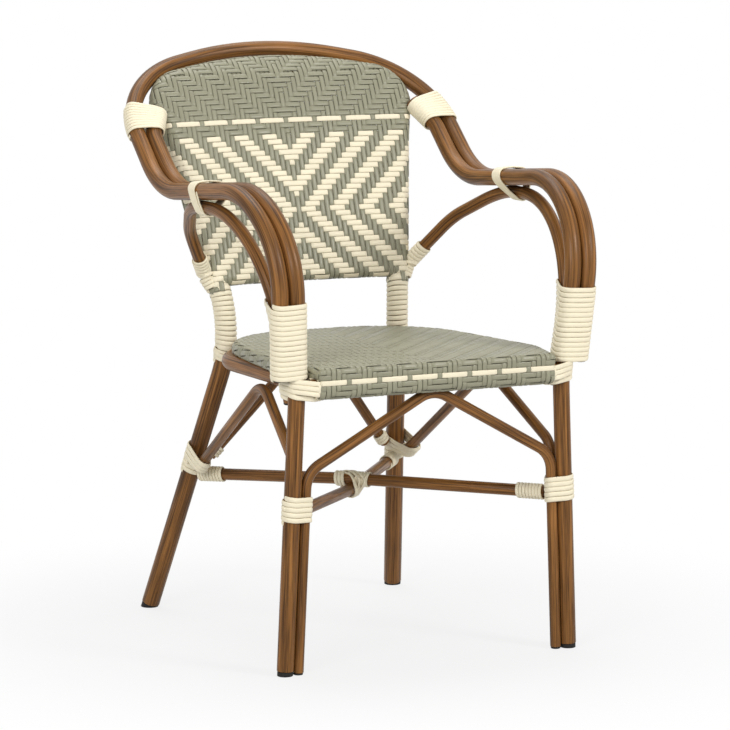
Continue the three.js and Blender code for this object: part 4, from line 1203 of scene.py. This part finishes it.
class CHAIR_OT_back_weave(bpy.types.Operator):
    """Woven back: grey warps, ivory wefts in a diamond twill, a dashed stripe and grey chevrons"""

    bl_idname = "chair.back_weave"
    bl_label = "Woven back"

    def execute(self, context):
        surface = BackSurface()
        pitch = context.scene.chair_sizes.weave_pitch

        def place(i, j):
            return i * pitch, surface.centre_v - j * ROW_PITCH

        def is_ivory(j):
            return j == BACK_STRIPE_ROW or BACK_IVORY_ROWS[0] <= j <= BACK_IVORY_ROWS[1]

        warps, wefts = weave(surface, place, warp_over_back, BACK_COLUMNS, BACK_ROWS, 0,
                             (pitch * WARP_WIDTH_SHARE, ROW_PITCH * ROW_WIDTH_SHARE), BACK_SEED)
        grey = rows_where(wefts, lambda j: not is_ivory(j))
        ivory = rows_where(wefts, is_ivory)
        make_piece("back_warps", warps, material_of("grey"), ["back_weave", "back_rail"])
        make_piece("back_wefts_grey", grey, material_of("grey"), ["back_weave"])
        make_piece("back_wefts_ivory", ivory, material_of("ivory_weft"), ["back_weave"])
        return {"FINISHED"}


class SeatSurface:
    """The woven seat: a flat top that wraps round the ring at the sides and rear, and folds down
    over the front in a band. u runs across from the middle, v back from the front edge and, below
    zero, down the band."""

    def __init__(self):
        corners = [at((SEAT_FRONT_HALF, SEAT_FRONT_Y - SEAT_LEAD, 0)),
                   at((SEAT_FRONT_HALF, SEAT_FRONT_Y, 0)), at((SEAT_WIDE_HALF, SEAT_WIDE_Y, 0)),
                   at((SEAT_REAR_HALF, SEAT_REAR_Y, 0)), at((0, SEAT_REAR_Y, 0))]
        outline = Route.bent(corners, [SEAT_FRONT_BEND, SEAT_WIDE_BEND, SEAT_REAR_BEND])
        first = outline.length_at(1, SEAT_FRONT_Y + SHIFT_Y)
        p, t = outline.along(np.linspace(first, outline.length, SEAT_SAMPLES))
        self.out = unit(np.cross(t, UPWARDS))
        self.place = p - self.out * SEAT_EDGE_RADIUS
        self.front = SEAT_FRONT_Y + SHIFT_Y + SEAT_FRONT_ROUND
        self.band_half = SEAT_FRONT_HALF - BAND_END_RADIUS
        quarter = np.linspace(0, math.pi / 2, FOLD_SAMPLES)
        low = SEAT_TOP_Z - BAND_DEPTH + SEAT_SKIN
        fold_round = SEAT_FRONT_ROUND - SEAT_SKIN
        y = self.front - fold_round * np.sin(quarter)
        z = SEAT_TOP_Z - SEAT_FRONT_ROUND + fold_round * np.cos(quarter)
        y_low = y[-1] + BAND_ROUND * (1 - np.cos(quarter))
        z_low = low + BAND_ROUND * (1 - np.sin(quarter))
        tail = SEAT_FRONT_Y + SHIFT_Y + BAND_BACK
        self.fold = np.stack([np.concatenate((y, y_low, [tail])),
                              np.concatenate((z, z_low, [low]))], -1)
        step = np.linalg.norm(np.diff(self.fold, axis=0), axis=1)
        self.fold_length = np.concatenate(([0.0], np.cumsum(step)))
        leg = front_leg.at(2, SEAT_TOP_Z)[0]
        posts = ((leg, FRAME_RADIUS), (leg - ARM_SHIFT, FRAME_RADIUS),
                 (lower_arm.points[-1], LOWER_ARM_RADIUS),
                 (rear.at(2, SEAT_TOP_Z)[0], REAR_RADIUS))
        self.posts = [(post, radius + POST_CLEAR) for post, radius in posts]

    def height(self, y):
        """Height of the top: it falls evenly towards the rear."""
        return SEAT_TOP_Z - SEAT_SKIN - SEAT_TILT * (y - FRONT_BAR_Y - SHIFT_Y)

    def folded(self, e):
        """Y and Z at a length down the fold of the band."""
        return np.stack([np.interp(e, self.fold_length, c) for c in self.fold.T], -1)

    def band(self, x, e):
        """The front band: down the fold, and round the band's ends by an angle that is the distance
        past the end over its radius."""
        f = self.folded(e)
        t = unit(self.folded(e + FOLD_PROBE) - self.folded(e - FOLD_PROBE))
        n = np.stack([np.zeros(len(e)), t[:, 1], -t[:, 0]], -1)
        side = np.clip(x - self.band_half, 0, None) / BAND_END_RADIUS
        turn = np.clip(side, 0, math.pi)
        extra = np.clip(side - math.pi, 0, None) * BAND_END_RADIUS
        px = np.where(side > 0, self.band_half + BAND_END_RADIUS * np.sin(turn), x) - extra
        drop = BAND_END_RADIUS * (1 - np.cos(turn))
        p = np.stack([px, f[:, 0], f[:, 1]], -1) - n * drop[:, None]
        m = n * np.cos(turn)[:, None]
        m[:, 0] = np.sin(turn)
        return p, m, (e < self.fold_length[-1]) & (side < math.pi + BAND_TUCK_SHARE)

    def top(self, x, y, base, normal):
        """The top, and its roll round the ring: the distance past the edge becomes an angle round
        the edge's radius, up to half a turn, and then runs on straight."""
        d = np.hypot(x[:, None] - self.place[None, :, 0], y[:, None] - self.place[None, :, 1])
        nearest = d.argmin(1)
        out, foot = self.out[nearest], self.place[nearest]
        away = ((x - foot[:, 0]) * out[:, 0] + (y - foot[:, 1]) * out[:, 1])
        e = np.clip(away, 0, None)
        turn = np.clip(e / SEAT_EDGE_RADIUS, 0, math.pi)
        extra = np.clip(e - math.pi * SEAT_EDGE_RADIUS, 0, None)
        p = foot + out * (SEAT_EDGE_RADIUS * np.sin(turn) - extra)[:, None]
        p[:, 2] = self.height(foot[:, 1]) - SEAT_EDGE_RADIUS * (1 - np.cos(turn))
        n = out * np.sin(turn)[:, None]
        n[:, 2] = np.cos(turn)
        past = (away > 0)[:, None]
        return np.where(past, p, base), np.where(past, n, normal), extra < SEAT_TUCK

    def __call__(self, u, v):
        """Place, normal, and whether the sheet goes on there: it stops short of the posts."""
        sign = np.sign(u) + (u == 0)
        x, y = np.abs(u), self.front + v
        base = np.stack([x, y, self.height(y)], -1)
        normal = np.tile((0.0, SEAT_TILT, 1.0), (len(u), 1))
        kept = np.ones(len(u), bool)
        band = v < 0
        base[band], normal[band], kept[band] = self.band(x[band], -v[band])
        top = ~band
        if top.any():
            rolled = self.top(x[top], y[top], base[top], normal[top])
            base[top], normal[top], kept[top] = rolled
        for post, radius in self.posts:
            kept &= np.hypot(base[:, 0] - post[0], base[:, 1] - post[1]) > radius
        sides = np.stack([sign, np.ones(len(u)), np.ones(len(u))], -1)
        return base * sides, unit(normal) * sides, kept


def warp_over_seat(i, j):
    """Twill of the seat: floats over three in chevrons, with one dashed row in the front band."""
    i, j = np.broadcast_arrays(np.abs(i), j)
    folded = (i + j - 1) % TWILL < FLOAT
    plain = np.where(j < SEAT_STRIPE_ROW, folded, (i - j) % TWILL < FLOAT)
    return np.where(j == SEAT_STRIPE_ROW, i % TWILL == 0, plain)


class CHAIR_OT_seat_weave(bpy.types.Operator):
    """Woven seat: grey herringbone over the top and down the front, with an ivory dashed row"""

    bl_idname = "chair.seat_weave"
    bl_label = "Woven seat"

    def execute(self, context):
        pitch = context.scene.chair_sizes.weave_pitch

        def place(i, j):
            return i * pitch, j * pitch - DASH_DROP

        width = pitch * WARP_WIDTH_SHARE
        warps, wefts = weave(SeatSurface(), place, warp_over_seat, SEAT_COLUMNS, SEAT_ROWS, 1,
                             (width, width), SEAT_SEED)
        grey = rows_where(wefts, lambda j: j != SEAT_STRIPE_ROW)
        dashes = rows_where(wefts, lambda j: j == SEAT_STRIPE_ROW)
        make_piece("seat_warps", warps, material_of("grey"), ["seat_weave"])
        make_piece("seat_wefts", grey, material_of("grey"), ["seat_weave"])
        make_piece("seat_dashes", dashes, material_of("ivory_weft"), ["seat_weave"])
        return {"FINISHED"}


# Lashings: what they are wound round
LEG = (front_leg, FRAME_RADIUS)
ARM = (hoop, FRAME_RADIUS)
POST = (rear, REAR_RADIUS)
LOWER = (lower_arm, LOWER_ARM_RADIUS)
SIDE_ARCH = (side_arch, BRACE_RADIUS)
FRONT_ARCH = (front_arch, BRACE_RADIUS)
REAR_ARCH = (rear_arch, BRACE_RADIUS)


def straight(a, b):
    """A route of one straight run."""
    points = np.array([a, b], float)
    return Route(points, np.array([points[1] - points[0]] * 2))


def turns_round(route, bound, low, high, rise, **settings):
    """As many whole turns as fit between two lengths, spread to fill them."""
    turns = max(1, round((high - low) / rise))
    return wound(route, bound, low, turns, (high - low) / turns, **settings)


def lashed_corner():
    """Where a front leg meets the front bar: turns round the leg and the bar's end, and two round
    the bar beside the seat."""
    bar_end = at((FRONT_BAR_HALF, FRONT_BAR_Y, FRONT_BAR_Z))
    stub = (straight(bar_end, bar_end - X_AXIS * CORNER_STUB), FRAME_RADIUS)
    joint = front_leg.at(2, FRONT_BAR_Z)[0] * (1, 0, 0) + bar_end * (0, 1, 1)
    tilt = unit(np.array((-math.sin(CORNER_TILT), 0.0, math.cos(CORNER_TILT))))
    axis = straight(joint - tilt * AXIS_HALF, joint + tilt * AXIS_HALF)
    low = AXIS_HALF + CORNER_TOP_Z - FRONT_BAR_Z - CORNER_TURNS * STRAND_RISE
    return [
        wound(axis, [LEG, LOWER, stub], low, CORNER_TURNS, STRAND_RISE, lean=CORNER_LEAN),
        wound(stub[0], [stub], STUB_START, STUB_TURNS, STRAND_RISE, lift=LAID_OVER, tone=0.4),
    ]


class CHAIR_OT_arm_lashings(bpy.types.Operator):
    """Wraps where the arms meet the legs and the back, and the ties that hold the arms together"""

    bl_idname = "chair.arm_lashings"
    bl_label = "Arm lashings"

    def execute(self, context):
        sizes = context.scene.chair_sizes
        ivory = material_of("ivory")
        rise = sizes.strand_rise
        low = hoop.length_at(2, FRONT_WRAP_TOP_Z) - sizes.wrap_turns * rise
        front = [wound(hoop, [LEG, ARM, LOWER], low, sizes.wrap_turns, rise)]
        both("front_wrap_strand", front, ivory, "front_wrap")
        both("corner_wrap_strand", lashed_corner(), ivory, "corner_wrap")
        low = hoop.length_at(2, HOOP_WRAP_LOW_Z)
        end, heading = front_leg.points[-1], hoop.at(2, INNER_ARM_END[2])[1]
        cover = (straight(end, end + heading * COVER_LENGTH), COVER_RADIUS)
        wrap = wound(hoop, [ARM, LEG, cover], low, HOOP_WRAP_TURNS, FINE_RISE)
        both("hoop_wrap_strand", [wrap], ivory, "hoop_wrap")
        low = hoop.length_at(1, ARM_TIE_Y + SHIFT_Y) - ARM_TIE_TURNS * TIE_RISE / 2
        tie = wound(hoop, [ARM, LEG, LOWER], low, ARM_TIE_TURNS, TIE_RISE, lean=-ARM_TIE_LEAN)
        both("arm_tie_strand", [tie], ivory, "arm_tie")
        foot = rear.at(2, LOWER_WRAP_Z)[0] + X_AXIS * LOWER_WRAP_OUT
        tail = straight(foot, lower_arm.points[0])
        bundle = [(tail, LOWER_TAIL_RADIUS), LOWER]
        root = [
            turns_round(lower_arm, [LOWER], LOWER_WRAP_START, LOWER_WRAP_LENGTH, ROOT_RISE),
            turns_round(tail, bundle, 0.0, tail.length, ROOT_RISE, tone=0.6),
        ]
        both("lower_arm_wrap_strand", root, ivory, "lower_arm_wrap")
        return {"FINISHED"}


def seat_rear_strands(rise):
    """Turns up a rear leg past the ring, and one turn and a bit round the leg and the ring. With
    them comes the length along the leg at which they end."""
    height = ring_height(RING_REAR_Y)
    low = rear.length_at(2, height - FRAME_RADIUS)
    high = rear.length_at(2, height + FRAME_RADIUS)
    post = rear.at(2, height)[0]
    s = ring.lengths[np.linalg.norm(ring.points - post, axis=1).argmin()]
    corner = (ring.cut(s - RING_BITE, s + RING_BITE), FRAME_RADIUS)
    return [
        turns_round(rear, [POST], low, high, rise),
        wound(rear, [POST, corner], low + rise, BRIDGE_TURNS, rise, BRIDGE_PHASE, lift=LAID_OVER,
              lean=BRIDGE_LEAN),
    ], high


class CHAIR_OT_leg_lashings(bpy.types.Operator):
    """Windings of the rear legs above the seat, and lashings of the arches and stretchers"""

    bl_idname = "chair.leg_lashings"
    bl_label = "Leg lashings"

    def execute(self, context):
        rise = context.scene.chair_sizes.strand_rise
        ivory = material_of("ivory")
        strands, above = seat_rear_strands(rise)
        both("seat_rear_strand", strands, ivory, "seat_rear_wrap")
        top = rear.length_at(2, BACK_BOTTOM_Z + WINDING_REACH)
        windings = [
            turns_round(rear, [POST], above, top, rise),
            wound(rear, [POST], top - rise / 2, TUCKED_TURNS, rise, lift=TUCKED_LIFT,
                  thick=TUCKED_THICK, sway=0.0),
        ]
        both("rear_winding_strand", windings, ivory, "rear_leg_winding")
        low = front_leg.length_at(2, FRONT_LASH_TOP_Z) - FRONT_LASH_TURNS * rise
        lashing = [wound(front_leg, [LEG, FRONT_ARCH, SIDE_ARCH], low, FRONT_LASH_TURNS, rise)]
        both("front_lashing_strand", lashing, ivory, "front_lashing")
        top = rear.length_at(2, REAR_LASH_TOP_Z)
        side_end = side_arch.length - SIDE_END_DROP * FINE_RISE
        lashing = [
            wound(rear, [POST], top - REAR_LASH_DROP * rise, REAR_LASH_TURNS, rise),
            wound(rear, [POST, SIDE_ARCH], top - ARCH_LASH_TURNS * rise, ARCH_LASH_TURNS, rise,
                  lift=ARCH_LASH_LIFT, tone=0.6),
            wound(rear_arch, [REAR_ARCH], ARCH_END_START, ARCH_END_TURNS, FINE_RISE),
            wound(side_arch, [SIDE_ARCH], side_end, SIDE_END_TURNS, FINE_RISE, lift=SIDE_END_LIFT),
        ]
        both("rear_lashing_strand", lashing, ivory, "rear_lashing")
        for name, route in (("over", stretcher_over), ("under", stretcher_under)):
            far = route.length - SLEEVE_TURNS * SLEEVE_RISE
            for end, start in (("front", 0.0), ("rear", far)):
                sleeve = wound(route, [(route, STRETCHER_RADIUS)], start, SLEEVE_TURNS, SLEEVE_RISE)
                make_piece(f"sleeve_{name}_{end}_strand", [sleeve], ivory,
                           [f"sleeve_{name}_{end}"])
        return {"FINISHED"}


class CHAIR_OT_crossing(bpy.types.Operator):
    """Lashing of the two stretchers where they cross: turns round the upper one on both sides of
    the crossing, and turns between them round both"""

    bl_idname = "chair.crossing"
    bl_label = "Crossing"

    def execute(self, context):
        high, low = (stretcher_over, STRETCHER_RADIUS), (stretcher_under, STRETCHER_RADIUS)
        middle = stretcher_over.length_at(0, 0.0)
        centre = (stretcher_over.at(0, 0.0)[0] + stretcher_under.at(0, 0.0)[0]) / 2
        axis = straight(centre - X_AXIS * AXIS_HALF, centre + X_AXIS * AXIS_HALF)
        near = middle - CROSS_REACH - CROSS_TURNS * FINE_RISE
        parts = [
            wound(stretcher_over, [high], near, CROSS_TURNS, FINE_RISE, lean=CROSS_LEAN),
            wound(stretcher_over, [high], middle + CROSS_REACH, CROSS_TURNS - 1, FINE_RISE),
            wound(axis, [high, low], AXIS_HALF - CROSS_OVER_TURNS / 2 * FINE_RISE,
                  CROSS_OVER_TURNS, FINE_RISE, lift=CROSS_OVER_LIFT, tone=0.6,
                  lean=CROSS_OVER_LEAN),
        ]
        make_piece("cross_strand", parts, material_of("ivory"), ["cross_lashing"])
        return {"FINISHED"}


# Stage
def turned_to(obj, direction):
    """Turns a lamp or camera so that its own -Z points along a direction, and puts it in the
    scene."""
    obj.rotation_mode = "QUATERNION"
    obj.rotation_quaternion = direction.to_track_quat("-Z", "Y")
    bpy.context.scene.collection.objects.link(obj)


def soft_box(name, place, target, side, watts):
    """A square lamp."""
    light = bpy.data.lights.new(name, "AREA")
    light.shape = "RECTANGLE"
    light.size = light.size_y = side
    light.energy = watts
    lamp = bpy.data.objects.new(name, light)
    lamp.location = place
    turned_to(lamp, Vector(target) - Vector(place))


def seen_share(tree):
    """One for rays that meet the plain white: from the camera, off a gloss or through glass."""
    path = add_node(tree, "ShaderNodeLightPath")
    seen = maths(tree, "MAXIMUM", path.outputs["Is Camera Ray"], path.outputs["Is Glossy Ray"])
    return maths(tree, "MAXIMUM", seen, path.outputs["Is Transmission Ray"])


def mix_into(tree, share, first, second, target):
    """Shows the second shader by a share of the first."""
    mix = add_node(tree, "ShaderNodeMixShader")
    for socket, source in zip(mix.inputs, (share, first.outputs[0], second.outputs[0])):
        tree.links.new(source, socket)
    tree.links.new(mix.outputs[0], target.inputs["Surface"])


def floor_material():
    """White paper: it takes the chair's shadow, and shows white to the camera, more so further
    from the chair."""
    material, tree, shader = blank_material("White Floor")
    shader.inputs["Base Color"].default_value = FLOOR_GREY
    shader.inputs["Roughness"].default_value = FLOOR_ROUGHNESS
    glow = add_node(tree, "ShaderNodeEmission", in_Color=WHITE, in_Strength=1.0)
    far = add_node(tree, "ShaderNodeVectorMath", operation="LENGTH")
    tree.links.new(add_node(tree, "ShaderNodeTexCoord").outputs["Object"], far.inputs[0])
    clear = remap(tree, far.outputs["Value"], low=0.30, high=0.90, to_low=0.80, to_high=1.0)
    share = maths(tree, "MULTIPLY", seen_share(tree), clear)
    mix_into(tree, share, shader, glow, tree.nodes["Material Output"])
    return material


def white_world(tree):
    """White where it is seen, and a plain dim light on the chair."""
    tree.nodes.clear()
    lit = add_node(tree, "ShaderNodeBackground", in_Color=WHITE, in_Strength=WORLD_LIT)
    white = add_node(tree, "ShaderNodeBackground", in_Color=WHITE, in_Strength=1.0)
    mix_into(tree, seen_share(tree), lit, white, add_node(tree, "ShaderNodeOutputWorld"))


class CHAIR_OT_stage(bpy.types.Operator):
    """Floor, white surround, soft lamps and the camera"""

    bl_idname = "chair.stage"
    bl_label = "Stage"

    def execute(self, context):
        scene = context.scene
        mesh = bpy.data.meshes.new("floor")
        corners = [(x * FLOOR_HALF, y * FLOOR_HALF, 0)
                   for x, y in ((-1, -1), (1, -1), (1, 1), (-1, 1))]
        mesh.from_pydata(corners, [], [(0, 1, 2, 3)])
        mesh.materials.append(floor_material())
        floor = bpy.data.objects.new("floor", mesh)
        scene.collection.objects.link(floor)
        scene.world = scene.world or bpy.data.worlds.new("Studio")
        scene.world.use_nodes = True
        white_world(scene.world.node_tree)
        for lamp in LAMPS:
            soft_box(*lamp)
        camera = bpy.data.cameras.new("camera")
        camera.lens = CAMERA_LENS
        camera.sensor_width = SENSOR_WIDTH
        a, e = math.radians(CAMERA_AZIMUTH), math.radians(CAMERA_ELEVATION)
        back = Vector((math.sin(a) * math.cos(e), -math.cos(a) * math.cos(e), math.sin(e)))
        holder = bpy.data.objects.new("camera", camera)
        holder.location = Vector(CAMERA_TARGET) + back * CAMERA_DISTANCE
        turned_to(holder, -back)
        scene.camera = holder
        scene.view_settings.view_transform = "Standard"
        return {"FINISHED"}


class CHAIR_PT_sidebar(bpy.types.Panel):
    """Sizes, colours and the steps of the build"""

    bl_idname = "CHAIR_PT_sidebar"
    bl_label = "Woven Bistro Armchair"
    bl_space_type = "VIEW_3D"
    bl_region_type = "UI"
    bl_category = "Chair"

    def draw(self, context):
        for group in (context.scene.chair_sizes, context.scene.chair_colours):
            box = self.layout.box()
            for key in group.__annotations__:
                box.prop(group, key)
        for operator in OPERATORS:
            self.layout.operator(operator.bl_idname)


OPERATORS = (CHAIR_OT_frame_tubes, CHAIR_OT_underframe, CHAIR_OT_feet_and_caps,
             CHAIR_OT_back_weave, CHAIR_OT_seat_weave, CHAIR_OT_arm_lashings,
             CHAIR_OT_leg_lashings, CHAIR_OT_crossing, CHAIR_OT_stage)
CLASSES = (ChairColours, ChairSizes, *OPERATORS, CHAIR_PT_sidebar)


def register():
    for cls in CLASSES:
        bpy.utils.register_class(cls)
    bpy.types.Scene.chair_colours = PointerProperty(type=ChairColours)
    bpy.types.Scene.chair_sizes = PointerProperty(type=ChairSizes)


def unregister():
    del bpy.types.Scene.chair_sizes
    del bpy.types.Scene.chair_colours
    for cls in reversed(CLASSES):
        bpy.utils.unregister_class(cls)


def main():
    register()
    bpy.ops.chair.frame_tubes()
    bpy.ops.chair.underframe()
    bpy.ops.chair.feet_and_caps()
    bpy.ops.chair.back_weave()
    bpy.ops.chair.seat_weave()
    bpy.ops.chair.arm_lashings()
    bpy.ops.chair.leg_lashings()
    bpy.ops.chair.crossing()
    bpy.ops.chair.stage()


if __name__ == "__main__":
    main()
